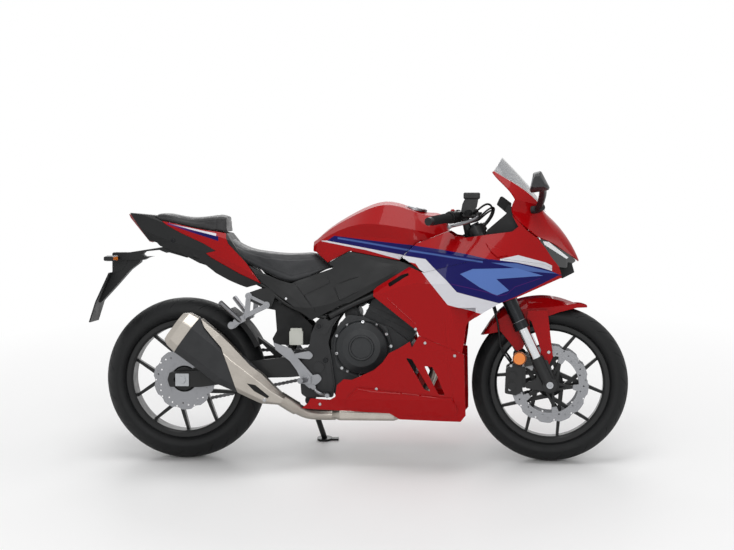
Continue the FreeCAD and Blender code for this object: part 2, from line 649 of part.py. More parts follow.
def front_calipers():
    """Radial calipers that straddle the discs behind the fork feet."""
    x, z = FRONT_AXLE
    body = slab([(x - 168, z + 60, 8), (x - 128, z + 88, 10), (x - 104, z + 62, 8), (x - 104, z - 26, 6),
                 (x - 130, z - 42, 8), (x - 172, z - 34, 8)], 52, 92)
    clear_of_carrier = 115
    slot = spun([(90, 50), (clear_of_carrier, 50), (clear_of_carrier, FRONT_DISC_W - 4),
                 (FRONT_DISC_R + 5, FRONT_DISC_W - 4), (FRONT_DISC_R + 5, FRONT_DISC_W + DISC_THICK + 5),
                 (90, FRONT_DISC_W + DISC_THICK + 5)], FRONT_AXLE)
    pistons = [barrel(x - 142, z + 34, 90, 99, 15), barrel(x - 145, z - 6, 90, 99, 15)]
    bracket = slab([(x - 112, z + 66, 5), (x - 92, z + 66, 5), (x - 92, z - 12, 5), (x - 112, z - 12, 5)],
                   78, 88 - GAP)
    return both(fused(body, pistons, bracket).cut(slot))


def front_reflectors():
    x, z = 1294.0, 401.0
    foot_side = FORK_SPREAD + 10 + GAP
    lens = barrel(x, z, foot_side + 6, foot_side + 14, 24)
    back = barrel(x, z, foot_side, foot_side + 6.5, 26)
    arm = slab([(x - 6, z - 6, 4), (x + 54, z - 22, 4), (x + 54, z + 2, 4), (x + 10, z + 16, 4)],
               foot_side, foot_side + 4)
    leg = rod(fork_at(AXLE_S + 8), fork_at(FORK_JOIN_S), FOOT_SOCKET_R + GAP)
    return both(fused(lens, back, arm.cut(leg)))


# Chassis: frame, engine, swingarm and what hangs on them

MAIN_TUBE_R, RAIL_R = 15.0, 11.0
MAIN_TUBE = [(572, 131, 560), (640, 131, 598), (745, 131, 646), (900, 130, 712), (1040, 112, 760),
             (1128, 24, 786)]
DOWN_TUBE_R = 12.0
DOWN_TUBE = [(1150, 22, 728), (1060, 100, 672), (985, 128, 628), (905, 128, 604)]
UPPER_RAIL = [(604, 129, 584), (440, 112, 600), (330, 104, 668), (180, 88, 742), (40, 70, 792)]
LOWER_RAIL = [(560, 129, 556), (430, 112, 586), (330, 104, 660)]


def run_on(points, reach):
    """The same route begun earlier by reach."""
    first, second = at(*points[0]), at(*points[1])
    start = first + (first - second).normalize() * reach
    return [(start.x, -start.y, start.z)] + points[1:]


def tube_room(points, radius):
    """Space that a frame tube needs, a little past its first end."""
    return tube(run_on(points, 12), radius + 2 * GAP)


def frame():
    """Steel tube frame: head tube, two main tubes, two down tubes and the seat rails."""
    head = rod(steer(LOWER_YOKE_S + YOKE_THICK + 16), steer(UPPER_YOKE_S - 8), HEAD_TUBE_R)
    head = head.cut(rod(steer(700), steer(1000), STEM_R + GAP))
    down = tube(DOWN_TUBE, DOWN_TUBE_R)
    brace = rod(at(1030, 114, 752), at(985, 126, 632), 10)
    mount = barrel(905, 604, HEAD_HALF + GAP, 130, 17)
    tie = rod(at(60, -73, 784), at(60, 73, 784), 9)
    rails = [tube(UPPER_RAIL, RAIL_R), tube(LOWER_RAIL, RAIL_R)]
    gusset = slab([(262, 650, 6), (300, 663), (345, 668), (362, 640), (345, 592, 10), (316, 590, 10),
                   (250, 622, 10)], 104, STEP_PAD_W - GAP)
    fairing_stay = rod(at(1000, 118, 757), at(1000, 260, 757), 7)
    fairing_stay = seated(fairing_stay, upper_fairing(), w=-GAP)
    tank_strut = seated(slab([(908, 722), (944, 722), (942, 880), (924, 880)], 96, 116), fuel_tank(),
                        z=-GAP)
    panel_boss = seated(barrel(425, 616, 113, 160, 9), side_panel(), w=-GAP)
    half = fused(tube(MAIN_TUBE, MAIN_TUBE_R), down, brace, mount, rails, gusset, fairing_stay, tank_strut,
                 panel_boss)
    core = fused(head, half, mirrored(half), tie, front_subframe())
    return largest(core.cut(rod(steer(690), steer(1010), STEM_R + GAP)))


def front_subframe():
    """Stay ahead of the steering head that carries the instruments, the lamps and the nose."""
    spine = tube([(1156, 0, 772), (1236, 0, 790), (1296, 0, 836), (1302, 0, 934)], 11)
    dash_arm = rod(at(1302, 0, 926), at(1240, 0, 966), 9)
    dash_arm = dash_arm.cut(dashboard()).cut(moved(dashboard(), x=GAP))
    arm = rod(at(1300, 0, 906), at(1300, 175, 940), 8)
    arm = seated(arm, nose_cowl(), w=-GAP)
    return fused(spine, largest(dash_arm), arm, mirrored(arm))


def pivot_plate():
    """Cast plate on each side that carries the swingarm pivot, the engine and the rider's steps."""
    outer = [(655, 604, 10), (640, 612, 10), (569, 585, 12), (520, 540, 12), (500, 492, 20), (493, 450, 20),
             (474, 420, 20), (456, 350, 20), (462, 262, 16), (480, 250, 12), (584, 250, 8), (592, 300, 20),
             (580, 392, 30), (566, 460, 30), (584, 526, 20), (612, 566, 12)]
    plate = slab(outer, PLATE_IN, PLATE_OUT)
    rib = slab([(640, 604, 6), (574, 577, 10), (530, 530, 10), (512, 488, 16), (560, 492, 16),
                (580, 528, 14), (606, 566, 10)], PLATE_OUT - 1, PLATE_OUT + 5)
    low_rib = slab([(574, 392, 10), (586, 300, 12), (578, 262, 6), (560, 262, 6), (566, 300, 10),
                    (552, 400, 10)], PLATE_OUT - 1, PLATE_OUT + 5)
    bosses = [barrel(531, 522, PLATE_OUT - 1, PLATE_OUT + 9, 15),
              barrel(*SWING_PIVOT, PLATE_OUT - 1, PLATE_OUT + 6, 20)]
    plate = fused(plate, rib, low_rib, bosses)
    for room in (tube_room(MAIN_TUBE, MAIN_TUBE_R), tube_room(UPPER_RAIL, RAIL_R),
                 tube_room(LOWER_RAIL, RAIL_R)):
        plate = plate.cut(room)
    return largest(plate)


def engine_block():
    """Crankcase with sump and starter, forward-leaning twin cylinders and head, and the intake."""
    case = slab([(572, 290, 20), (576, 470, 20), (612, 540, 20), (700, 556, 20), (800, 520, 20),
                 (905, 440, 20), (900, 330, 30), (830, 236, 20), (610, 226, 20)], -ENGINE_HALF, ENGINE_HALF)
    x, z = OUTPUT_SPROCKET
    pocket = slab([(x - 60, z - 62, 10), (x + 34, z - 54, 30), (x + 52, z, 30), (x + 34, z + 54, 30),
                   (x - 60, z + 54, 10)], -ENGINE_HALF - 1, -CHAIN_W + CHAIN_HALF_WIDTH + 6)
    shaft = barrel(x, z, -CHAIN_W - 7, -CHAIN_W + CHAIN_HALF_WIDTH + 7, 13)
    output = toothed_ring(OUTPUT_SPROCKET, OUTPUT_PITCH_R, OUTPUT_TEETH, GAP)
    barrels = slab([(690, 540), (878, 452), (925, 560), (742, 640)], -102, 102)
    head = slab([(735, 626, 8), (930, 540, 8), (958, 600, 12), (760, 700, 12)], -HEAD_HALF, HEAD_HALF)
    fins = [slab([(700 + 9 * i, 560 + 19 * i), (884 + 9 * i, 472 + 19 * i), (886 + 9 * i, 477 + 19 * i),
                  (702 + 9 * i, 565 + 19 * i)], -106, 106) for i in range(3)]
    sump = slab([(620, 232), (826, 242), (800, 204, 14), (634, 204, 14)], -60, 60)
    starter = fused(barrel(655, 566, -70, 84, 30), barrel(655, 566, 83, 92, 22))
    throttles = [rod(at(758, w, 622), at(636, w, 664), 32) for w in (-46, 46)]
    rail = rod(at(690, -88, 610), at(690, 88, 610), 15)
    airbox = slab([(560, 668, 20), (628, 622, 10), (668, 700, 12), (700, 742, 12), (610, 748, 20)], -84, 84)
    return fused(case.cut(pocket), shaft, output, barrels, head, fins, sump, starter, throttles, rail,
                 airbox)


def clutch_cover():
    """Round right-hand engine cover with a stepped dome and a raised cap ring."""
    centre = (695.0, 442.0)
    dome = spun([(0, ENGINE_HALF + GAP), (112, ENGINE_HALF + GAP), (112, 126, 3), (103, 130), (98, 152, 8),
                 (72, 164, 6), (50, 166), (47, 171, 2), (41, 171, 2), (39, 165), (0, 165)], centre)
    skirt = slab([(600, 520, 20), (640, 566, 20), (700, 560, 20), (790, 520, 20), (812, 440, 20),
                  (780, 350, 30), (690, 318, 30), (600, 360, 30), (584, 430, 30)], ENGINE_HALF + GAP, 127)
    return fused(dome, skirt)


def generator_cover():
    """Left-hand engine cover, and the cover over the output sprocket behind it."""
    centre = (712.0, 430.0)
    dome = spun([(0, -ENGINE_HALF - GAP), (108, -ENGINE_HALF - GAP), (108, -124, 3), (94, -130),
                 (86, -148, 8), (60, -154), (0, -154)], centre)
    sprocket = slab([(594, 306, 6), (584, 392, 6), (574, 450, 6), (620, 452, 20), (650, 400, 20),
                     (640, 306, 20)], -ENGINE_HALF - GAP, -128)
    return fused(dome, sprocket)


def radiator():
    """Inclined radiator core between its two end tanks."""
    core = slab([(1006, 596), (1028, 596), (1062, 412), (1040, 412)], -128, 128)
    tank = slab([(1003, 602, 4), (1032, 602, 4), (1067, 406, 4), (1036, 406, 4)], 128, 160)
    lug = rod(at(1014, 140, 596), at(988, 128, 624), 8).cut(tube(DOWN_TUBE, DOWN_TUBE_R + GAP))
    lug = largest(lug)
    return fused(core, tank, mirrored(tank), lug, mirrored(lug))


LINK_R = 21.0
LINK_PIPE = [(388, 199, 252), (430, 176, 222), (482, 133, 187), (540, 100, 180), (590, 92, 180)]


def exhaust_pipes():
    """Two header pipes into a collector box under the engine, and the link pipe to the silencer."""
    pipes = [tube([(944.6, 52, 569.7), (976, 52, 555), (988, 52, 480), (976, 50, 360), (935, 46, 262),
                   (862, 44, 198), (800, 44, 184)], 18),
             tube([(944.6, -52, 569.7), (976, -52, 555), (988, -50, 480), (976, -40, 360), (935, -16, 262),
                   (862, 2, 198), (800, 6, 184)], 18)]
    flanges = [rod(at(944.6, w, 569.7), at(951.9, w, 566.3), 28) for w in (52, -52)]
    box_wires = []
    for x, half_w, half_z in ((842, 68, 12), (818, 83, 20), (610, 83, 20), (580, 60, 14)):
        box_wires.append(closed_wire([at(x, 60 - half_w, 182 - half_z), at(x, 60 + half_w, 182 - half_z),
                                      at(x, 60 + half_w, 182 + half_z), at(x, 60 - half_w, 182 + half_z)],
                                     11))
    collector = loft(box_wires, True)
    link = tube(LINK_PIPE, LINK_R)
    return fused(pipes, flanges, collector, link)


SLEEVE_END = (446.0, 162.8, 211.2)
MUFFLER_END = (36.0, 491.0)    # middle of the silencer's rear face, side view
MUFFLER_TILT = 36.3            # its rise towards the rear, degrees
MUFFLER_W = 200.0
MUFFLER_CUT = ((-0.55, 1.0), (0.45, 1.0), (1.0, 0.5), (1.0, -0.62), (0.62, -1.0), (-0.6, -1.0),
               (-1.0, -0.6), (-1.0, 0.55))


def muffler_wire(t, low, high, half, grow=0.0):
    """Eight-sided section square to the silencer's axis, t behind the rear face's middle."""
    c, s = math.cos(math.radians(MUFFLER_TILT)), math.sin(math.radians(MUFFLER_TILT))
    middle, tall = (low + high) / 2, (high - low) / 2 + grow
    spots = []
    for across, up in MUFFLER_CUT:
        n = middle + up * tall
        spots.append(at(MUFFLER_END[0] - t * c + n * s, MUFFLER_W + across * (half + grow),
                        MUFFLER_END[1] + t * s + n * c))
    return closed_wire(spots, 6)


MUFFLER_SECTIONS = ((-440, 2, 30, 24), (-383, -34, 36, 36), (-300, -56, 50, 48), (-200, -80, 62, 57),
                    (-100, -78, 74, 61), (0, -79, 79, 62))


def muffler_form(grow=0.0):
    return loft([muffler_wire(*section, grow) for section in MUFFLER_SECTIONS], True)


SHIELD_OUTLINE = [(86, 566), (104, 561), (279, 377), (373, 306), (418, 262), (440, 244), (448, 222),
                  (403, 220), (324, 230), (232, 276), (196, 383), (172, 447), (106, 522)]


def muffler():
    """Silencer body inside its shield, with the bright end cap and its outlet."""
    return muffler_form().cut(muffler_link_space())


def muffler_link_space():
    """Room for the link pipe in the silencer's mouth."""
    return tube(run_on(LINK_PIPE, 4), LINK_R + GAP)


def muffler_cap():
    """Tapered end cap with a slanted face and a round outlet."""
    root = muffler_wire(GAP, -79, 79, 62)
    lip = muffler_wire(40, -74, 74, 59)
    end = muffler_wire(60, -62, 58, 50)
    cap = loft([root, lip, end], True)
    c, s = math.cos(math.radians(MUFFLER_TILT)), math.sin(math.radians(MUFFLER_TILT))
    mouth = at(MUFFLER_END[0] - 20 * c, MUFFLER_W, MUFFLER_END[1] + 20 * s)
    return cap.cut(Part.makeCylinder(27, 60, mouth, Vector(-c, 0, s)))


def muffler_shield():
    """Bright cover over the silencer's front and upper side, with a sleeve around the link pipe."""
    shell = muffler_form(5.0).cut(muffler_form(0.6)).cut(muffler_link_space())
    sleeve = tube(LINK_PIPE[:2] + [SLEEVE_END], LINK_R + 5).cut(muffler_form(0.6))
    sleeve = sleeve.cut(tube(run_on(LINK_PIPE, 4), LINK_R + 1.5))
    return largest(fused(shell.common(slab(SHIELD_OUTLINE, MUFFLER_W - 20, 300)), sleeve))


def largest(shape):
    """The biggest solid of a cut result."""
    return max(shape.Solids, key=lambda solid: solid.Volume)


def swingarm():
    """Box-section arms, pivot barrel, cross member and the slotted axle ends."""
    x, z = REAR_AXLE
    arm = slab([(548, 338, 10), (560, 365, 20), (545, 396, 10), (415, 402, 20), (270, 386, 20),
                (71, 348, 10), (-50, 340, 8), (-58, 312, 8), (-50, 284, 8), (71, 284, 10), (339, 322, 20),
                (415, 324, 20)], ARM_IN, ARM_OUT)
    slot = slab([(-34, z - AXLE_R - GAP, 9), (14, z - AXLE_R - GAP, 9), (14, z + AXLE_R + GAP, 9),
                 (-34, z + AXLE_R + GAP, 9)], ARM_IN - 5, ARM_OUT + 5)
    arm = arm.cut(slot)
    pivot = barrel(SWING_PIVOT[0], SWING_PIVOT[1], -PLATE_IN + GAP, PLATE_IN - GAP, 26)
    cross = slab([(346, 338, 10), (432, 338, 10), (432, 394, 10), (352, 390, 10)], -ARM_IN_LEFT - 1,
                 ARM_IN + 1)
    hanger = slab([(396, 390), (428, 390), (420, 418, 8), (404, 418, 8)], -12, 12)
    left = mirrored(arm).cut(box(-200, 600, -ARM_IN_LEFT, 0, 200, 500))
    return fused(arm, left, pivot, cross, hanger)


def rear_axle():
    """Spindle, adjuster blocks and nuts."""
    x, z = REAR_AXLE
    bar = barrel(x, z, -ARM_OUT - 16, ARM_OUT + 16, AXLE_R)
    block = slab([(x - 26, z - 24, 3), (x + 26, z - 24, 3), (x + 26, z + 24, 3), (x - 26, z + 24, 3)],
                 ARM_OUT + GAP, ARM_OUT + 7)
    nut = moved(six_sided(x, z, 15, 12), w=ARM_OUT + 6)
    return fused(bar, block, mirrored(block), nut, mirrored(nut))


def rear_caliper():
    """Single caliper on its bracket, ahead of the axle over the arm."""
    x, z = REAR_AXLE
    body = slab([(x + 82, z + 20, 8), (x + 88, z + 92, 8), (x + 128, z + 96, 10), (x + 136, z + 20, 8)],
                52, 86)
    clear_of_hub = 90
    slot = spun([(60, 50), (clear_of_hub, 50), (clear_of_hub, REAR_DISC_W - 4),
                 (REAR_DISC_R + 5, REAR_DISC_W - 4), (REAR_DISC_R + 5, REAR_DISC_W + DISC_THICK + 5),
                 (60, REAR_DISC_W + DISC_THICK + 5)], REAR_AXLE)
    bracket = slab([(x - 22, z - 20, 8), (x + 30, z - 24, 8), (x + 132, z + 14, 8), (x + 130, z + 60, 8),
                    (x + 84, z + 60, 8), (x - 10, z + 24, 8)], ARM_IN - 9, ARM_IN - GAP)
    hole = barrel(x, z, 40, 140, AXLE_R + GAP)
    return fused(body.cut(slot), bracket).cut(hole)


HUGGER_SPAN = (24, 42, 57)     # its lower end, middle and upper end, degrees above the axle


def rear_hugger():
    """Mudguard over the front of the rear tyre, on the swingarm."""
    inside, outside = REAR_TYRE_R + 8, REAR_TYRE_R + 11.5
    ring = spun([(inside, -84), (outside, -87.5), (outside, 87.5), (inside, 84)], REAR_AXLE)
    cheeks = spun([(inside - 16, 84.5), (inside, 84), (outside, 87.5), (inside - 16, 87.5)], REAR_AXLE)
    angles = [math.radians(a) for a in HUGGER_SPAN]
    fan = [(600 * math.cos(a), REAR_TYRE_R + 600 * math.sin(a)) for a in angles]
    wedge = slab([REAR_AXLE] + fan, -120, 120)
    body = fused(ring, cheeks, mirrored(cheeks)).common(wedge)
    chain_room = box(-100, 700, -CHAIN_W - CHAIN_HALF_WIDTH - 30, 0, 200,
                     REAR_AXLE[1] + SPROCKET_PITCH_R + CHAIN_OUTER_HALF + 6)
    tab = slab([(287, 458), (280, 474), (372, 406, 4), (366, 380, 4)], -28, 28)
    return seated(fused(largest(body.cut(chain_room)), tab), swingarm(), z=GAP)


def rear_shock():
    """Single damper with its spring, between the swingarm and the frame's cross member."""
    foot, top = at(412, 0, 430), at(470, 0, 604)
    axis = top - foot
    body = rod(foot, top, 16)
    coils = []
    for i in range(9):
        share = 0.16 + i * 0.085
        a = foot + axis * share
        coils.append(rod(a, a + axis * 0.05, 30))
    eyes = [rod(Vector(412, -14, 430), Vector(412, 14, 430), 12),
            rod(Vector(470, -20, 604), Vector(470, 20, 604), 13)]
    sleeve = rod(foot + axis * 0.12, foot + axis * 0.92, 25)
    return fused(body, sleeve, coils, eyes)


def inner_tray():
    """Black inner guard and battery box between the frame tubes, ahead of the rear tyre."""
    front = slab([(300, 590, 6), (330, 640, 6), (440, 578, 6), (500, 520, 6), (486, 446, 6), (352, 446, 6),
                  (345, 470, 6), (362, 500, 6), (356, 580, 4)], -80, 80)
    hollow = slab([(310, 600, 4), (330, 632, 4), (438, 570, 4), (520, 520, 4), (520, 455, 4),
                   (420, 455, 4), (410, 520, 4)], -76, 76)
    lug = seated(barrel(380, 614, 78, 120, 7), tube(LOWER_RAIL, RAIL_R), w=-1.5 * GAP)
    tray = fused(front.cut(hollow), lug, mirrored(lug))
    return largest(tray.cut(rod(at(400, 0, 380), at(476, 0, 625), 38)))


def brake_reservoir():
    """Small rear brake fluid bottle behind the right pivot plate."""
    bottle = slab([(414, 448, 5), (466, 448, 5), (466, 502, 5), (414, 502, 5)], 80 + GAP, 112)
    lid = slab([(418, 501, 3), (462, 501, 3), (462, 512, 3), (418, 512, 3)], 86, 110)
    return fused(bottle, lid)


# Bodywork

TANK_SECTIONS = [
    (503, [(0, 846), (44, 842), (66, 826), (70, 806), (72, 780), (0, 780)]),
    (540, [(0, 877), (62, 870), (94, 852), (96, 828), (100, 748), (0, 748)]),
    (634, [(0, 941), (72, 930), (124, 898), (116, 862), (126, 770), (0, 770)]),
    (700, [(0, 975), (82, 962), (148, 912), (130, 862), (136, 770), (0, 770)]),
    (775, [(0, 997), (88, 984), (164, 910), (148, 860), (146, 760), (0, 760)]),
    (867, [(0, 979), (84, 968), (162, 896), (160, 856), (150, 750), (0, 750)]),
    (945, [(0, 955), (76, 944), (136, 880), (144, 852), (140, 750), (0, 750)]),
    (1022, [(0, 900), (62, 892), (104, 868), (110, 846), (110, 750), (0, 750)]),
]
TANK_LOWER_EDGE = [(480, 830), (505, 806), (516, 804), (562, 765), (646, 810), (838, 775), (846, 786),
                   (899, 838), (1021, 884), (1040, 892), (1040, 700), (480, 700)]


@cache
def fuel_tank():
    """Broad-shouldered tank with knee recesses; its lower edge follows the side panels and the fairing."""
    form = whole_envelope(TANK_SECTIONS)
    outside = slab(TANK_LOWER_EDGE, -250, 250)
    under = slab([(560, 700), (600, 800), (800, 800), (960, 830), (1040, 700)], -60, 60)
    body = form.cut(outside).cut(under)
    cap_seat = Part.makeCylinder(38, 6, Vector(862, 0, 972), Vector(0.18, 0, 1))
    ring = Part.makeCylinder(30, 3, Vector(862, 0, 972), Vector(0.18, 0, 1))
    return fused(largest(body).cut(cap_seat), moved(ring, z=-1))


@cache
def rider_seat():
    """Dished seat: wide behind, narrow at the tank."""
    sections = [
        (172, [(0, 862), (66, 860), (88, 852), (92, 834), (0, 834)]),
        (206, [(0, 838), (80, 836), (96, 828), (100, 790), (0, 790)]),
        (244, [(0, 820), (88, 816), (100, 806), (98, 764), (0, 764)]),
        (320, [(0, 804), (96, 800), (122, 786), (110, 728), (0, 728)]),
        (421, [(0, 796), (92, 792), (122, 776), (120, 691), (0, 691)]),
        (500, [(0, 800), (66, 796), (94, 780), (106, 712), (0, 712)]),
        (580, [(0, 790), (46, 784), (66, 768), (84, 742), (0, 742)]),
    ]
    form = whole_envelope(sections)
    tank_front = slab([(496, 900), (500, 806), (514, 800), (560, 762), (600, 742), (620, 900)], -200, 200)
    return largest(form.cut(tank_front))


def pillion_seat():
    sections = [
        (-112, [(0, 951), (32, 949), (42, 942), (44, 924), (0, 924)]),
        (-40, [(0, 947), (52, 944), (62, 934), (62, 913), (0, 913)]),
        (50, [(0, 936), (64, 932), (78, 920), (76, 894), (0, 894)]),
        (134, [(0, 945), (66, 942), (84, 932), (87, 884), (0, 884)]),
        (170, [(0, 944), (60, 941), (76, 930), (82, 880), (0, 880)]),
    ]
    return whole_envelope(sections)


TAIL_SECTIONS = [
    (-232, [(16, 953), (22, 950), (20, 944), (12, 938)]),
    (-120, [(44, 944), (58, 930), (56, 870), (38, 834)]),
    (0, [(74, 905), (86, 892), (82, 830), (60, 786)]),
    (100, [(92, 886), (104, 872), (102, 800), (84, 735)]),
    (180, [(96, 872), (114, 850), (116, 770), (100, 695)]),
    (320, [(104, 720), (124, 700), (128, 680), (118, 640)]),
]
TAIL_RED = [(-86, 922), (88, 887), (168, 878), (170, 858), (178, 836), (247, 765), (306, 684), (222, 722),
            (108, 784), (90, 799), (131, 808), (80, 837), (-8, 876), (-66, 906)]
TAIL_BLACK = [(-218, 953), (-90, 941), (-88, 922), (-66, 905), (-8, 875), (80, 836), (128, 809), (88, 799),
              (106, 783), (222, 720), (304, 683), (250, 668), (239, 664), (128, 722), (78, 760), (28, 781),
              (13, 791), (-68, 808), (-95, 822), (-110, 838), (-122, 842), (-142, 845)]


@cache
def tail_envelope():
    return half_envelope(TAIL_SECTIONS)


def tail_cowls():
    """Painted panels on both sides of the tail."""
    return both(largest(skin(tail_envelope(), TAIL_RED)))


@cache
def tail_core():
    """Black tail moulding under the seat and behind the painted panels."""
    envelope = tail_envelope()
    black = envelope.common(slab(TAIL_BLACK, -1, 300))
    behind = moved(envelope, w=-PANEL - GAP).common(slab(TAIL_RED, -1, 300))
    deck = [(-100, 936), (80, 890), (168, 878), (300, 690), (60, 760), (-60, 820)]
    middle = moved(envelope, w=-PANEL - GAP).common(slab(deck, -1, 300))
    right = fused(black, behind, middle)
    seat_well = whole_envelope([
        (-116, [(0, 990), (52, 990), (52, 923), (0, 923)]),
        (50, [(0, 990), (94, 990), (94, 893), (0, 893)]),
        (176, [(0, 990), (98, 990), (98, 879), (0, 879)]),
    ])
    core = fused(right, mirrored(right)).cut(seat_well)
    seat, lens = rider_seat(), tail_lamp()
    rails = fused(tube_room(UPPER_RAIL, RAIL_R), tube_room(LOWER_RAIL, RAIL_R),
                  rod(at(60, -73, 784), at(60, 73, 784), 10))
    for room in (seat, moved(seat, z=-1.0), lens, moved(lens, x=-GAP), moved(lens, x=GAP, z=GAP), rails,
                 mirrored(rails)):
        core = core.cut(room)
    return largest(core)


def tail_lamp():
    """Red lens along the slanted rear edge of the tail."""
    return slab([(-222, 949), (-216, 934, 2), (-142, 842, 3), (-126, 838, 3), (-124, 846), (-206, 945)],
                -26, 26)


@cache
def side_panel():
    """Black panel between tank, seat and frame, with a raised knee area."""
    sections = [
        (240, [(96, 780), (118, 740), (122, 680), (112, 640)]),
        (320, [(104, 760), (128, 716), (132, 650), (122, 600)]),
        (425, [(104, 740), (134, 690), (142, 600), (132, 540)]),
        (540, [(96, 790), (132, 730), (148, 600), (140, 530)]),
        (646, [(116, 840), (140, 790), (152, 640), (148, 560)]),
        (760, [(130, 830), (150, 770), (156, 700), (152, 600)]),
        (870, [(138, 800), (156, 768), (160, 730), (156, 680)]),
        (930, [(142, 790), (158, 764), (160, 730), (158, 680)]),
    ]
    form = half_envelope(sections)
    outline = [(565, 763.5, 4), (646, 807.5, 10), (837, 772.5, 6), (862, 764), (918, 744), (908, 722),
               (790, 642), (754, 646), (740, 662), (646, 612), (627, 609), (524, 556), (503, 545),
               (312, 688), (258, 752), (309, 726), (379, 697), (424, 685, 8), (456, 698), (578, 741, 4),
               (588, 749, 4)]
    panel = skin(form, outline, 4.0)
    raised = [skin(moved(form, w=3.5), area, 5.0, 6) for area in (
        [(612, 622), (640, 622), (838, 742), (812, 750), (782, 750), (612, 682), (590, 684)],
        [(330, 700), (425, 674), (560, 712), (575, 690), (470, 640), (520, 574), (500, 566), (440, 622)],
    )]
    return largest(fused(panel, raised))


FAIRING_SECTIONS = [
    (440, [(100, 800), (150, 700), (168, 560), (174, 400), (176, 270), (164, 190), (60, 180)]),
    (600, [(110, 820), (170, 720), (196, 560), (198, 400), (190, 250), (172, 172), (60, 160)]),
    (745, [(120, 840), (192, 740), (224, 640), (222, 430), (208, 250), (160, 158), (60, 150)]),
    (850, [(128, 870), (192, 787), (238, 680), (234, 440), (214, 250), (164, 150), (60, 144)]),
    (940, [(120, 900), (218, 812), (244, 690), (239, 440), (217, 250), (164, 148), (60, 142)]),
    (1020, [(122, 906), (240, 803), (247, 690), (240, 440), (217, 250), (160, 148), (60, 142)]),
    (1100, [(134, 904), (248, 790), (243, 680), (228, 440), (206, 250), (150, 148), (60, 142)]),
    (1200, [(140, 930), (240, 777), (212, 622), (196, 440), (176, 250), (130, 150), (60, 144)]),
    (1280, [(148, 985), (214, 771), (182, 640), (160, 440), (140, 250), (110, 150), (50, 144)]),
    (1340, [(152, 915), (188, 766), (156, 660), (130, 440), (110, 250), (90, 150), (40, 144)]),
    (1400, [(132, 880), (158, 760), (130, 685), (100, 440), (90, 250), (70, 150), (30, 144)]),
    (1466, [(84, 800), (104, 722), (92, 700), (60, 440), (50, 250), (40, 150), (20, 144)]),
]
UPPER_SEAM = [(937, 732), (1107, 774), (1220, 785), (1389, 762), (1452, 720.5)]
LOWER_SEAM = [(917.5, 494.5), (1080, 427)]


def beside(seam, side, backwards=False):
    """A seam line moved up, side +1, or down, side -1, by half the seam's width."""
    line = [(x, z + side * SEAM / 2) for x, z in seam]
    return line[::-1] if backwards else line


UPPER_EDGE = [(852, 788), (904, 839), (1024, 884), (1049, 868), (1096, 862), (1180, 874), (1266, 885),
              (1289, 903), (1264, 948), (1325, 886), (1366, 856), (1372, 846), (1393, 820), (1412, 790),
              (1442, 752)]
MIDDLE_REAR = [(911, 512), (745, 642), (745, 664), (757, 676), (880, 752), (922, 735)]
MIDDLE_FRONT = [(1453, 709), (1295, 641), (1219, 615), (1156, 579, 20), (1095, 540, 40), (1088, 476)]
LOWER_EDGE = [(891, 449), (884, 472), (842, 446), (804, 427), (781, 393, 20), (748, 363, 20), (691, 336),
              (661, 323), (631, 325), (604, 302), (598, 258), (578, 246), (502, 250), (494, 233),
              (468, 212), (578, 206), (804, 195), (842, 172), (1072, 163), (1092, 188), (1087, 424)]
UPPER_OUTLINE = UPPER_EDGE + beside(UPPER_SEAM, 1, True)
MIDDLE_OUTLINE = MIDDLE_REAR + beside(UPPER_SEAM, -1) + MIDDLE_FRONT + beside(LOWER_SEAM, 1, True)
LOWER_OUTLINE = LOWER_EDGE + beside(LOWER_SEAM, -1, True)
SHELF_OUTLINE = [(640, 247), (683, 294), (748, 288), (880, 269), (1014, 258), (1040, 258), (1064, 205),
                 (1040, 185), (850, 190), (812, 206), (640, 214)]
VENT_SLOTS = [
    [(868, 411, 3), (892, 405, 3), (962, 282, 3), (938, 290, 3)],
    [(938, 380, 3), (968, 376, 6), (984, 347, 6), (1015, 269, 3), (992, 271, 3), (964, 324, 3)],
]


@cache
def fairing_envelope():
    """Outer form of one side of the fairing, with the bevel along its leading edge."""
    form = half_envelope(FAIRING_SECTIONS)
    bevel = loft([
        closed_wire([at(1003, 262, 600), at(1130, 190, 600), at(1130, 262, 600)]),
        closed_wire([at(1094, 262, 140), at(1130, 226, 140), at(1130, 262, 140)]),
    ], True)
    return form.cut(bevel)


@cache
def upper_fairing():
    """Upper side of the fairing, from the tank to the headlamp, with a raised fin."""
    fin = skin(moved(fairing_envelope(), w=5), [(1167, 843), (1190, 809), (1212, 791), (1250, 797),
                                                (1216, 820)], 7.0)
    return largest(fused(skin(fairing_envelope(), UPPER_OUTLINE), fin))


def middle_fairing():
    """Broad side panel, with a return lip along the duct behind it and a bevelled upper rear corner."""
    form = fairing_envelope()
    lip_bevel = loft([
        closed_wire([at(772, 262, 640), at(700, 190, 640), at(700, 262, 640)]),
        closed_wire([at(948, 262, 760), at(876, 190, 760), at(876, 262, 760)]),
    ], True)
    form = form.cut(lip_bevel)
    panel = skin(form, MIDDLE_OUTLINE)
    lip = form.common(slab([(745, 664), (745, 642), (911, 512), (918, 519), (756, 648), (756, 672)], 180,
                           300))
    slot = slab([(806, 676, 4), (862, 712, 4), (880, 722, 4), (876, 730, 4), (850, 722, 4), (800, 690, 4)],
                150, 300)
    return largest(fused(panel, lip).cut(slot))


def lower_fairing():
    """Belly panel with its raised lower strip and two air slots."""
    form = fairing_envelope()
    panel = skin(form, LOWER_OUTLINE)
    strip = skin(moved(form, w=6), SHELF_OUTLINE, 8.0, 3)
    slots = [slab(slot, 120, 300) for slot in VENT_SLOTS]
    return largest(fused(panel, strip).cut(Part.makeCompound(slots)))


STAND_NOTCH = [(440, 150), (440, 330), (640, 330), (640, 150)]


def left_of_stand(panel):
    """The left-hand twin of the belly panel, cut short of the side stand."""
    return largest(mirrored(panel).cut(slab(STAND_NOTCH, -300, 0)))


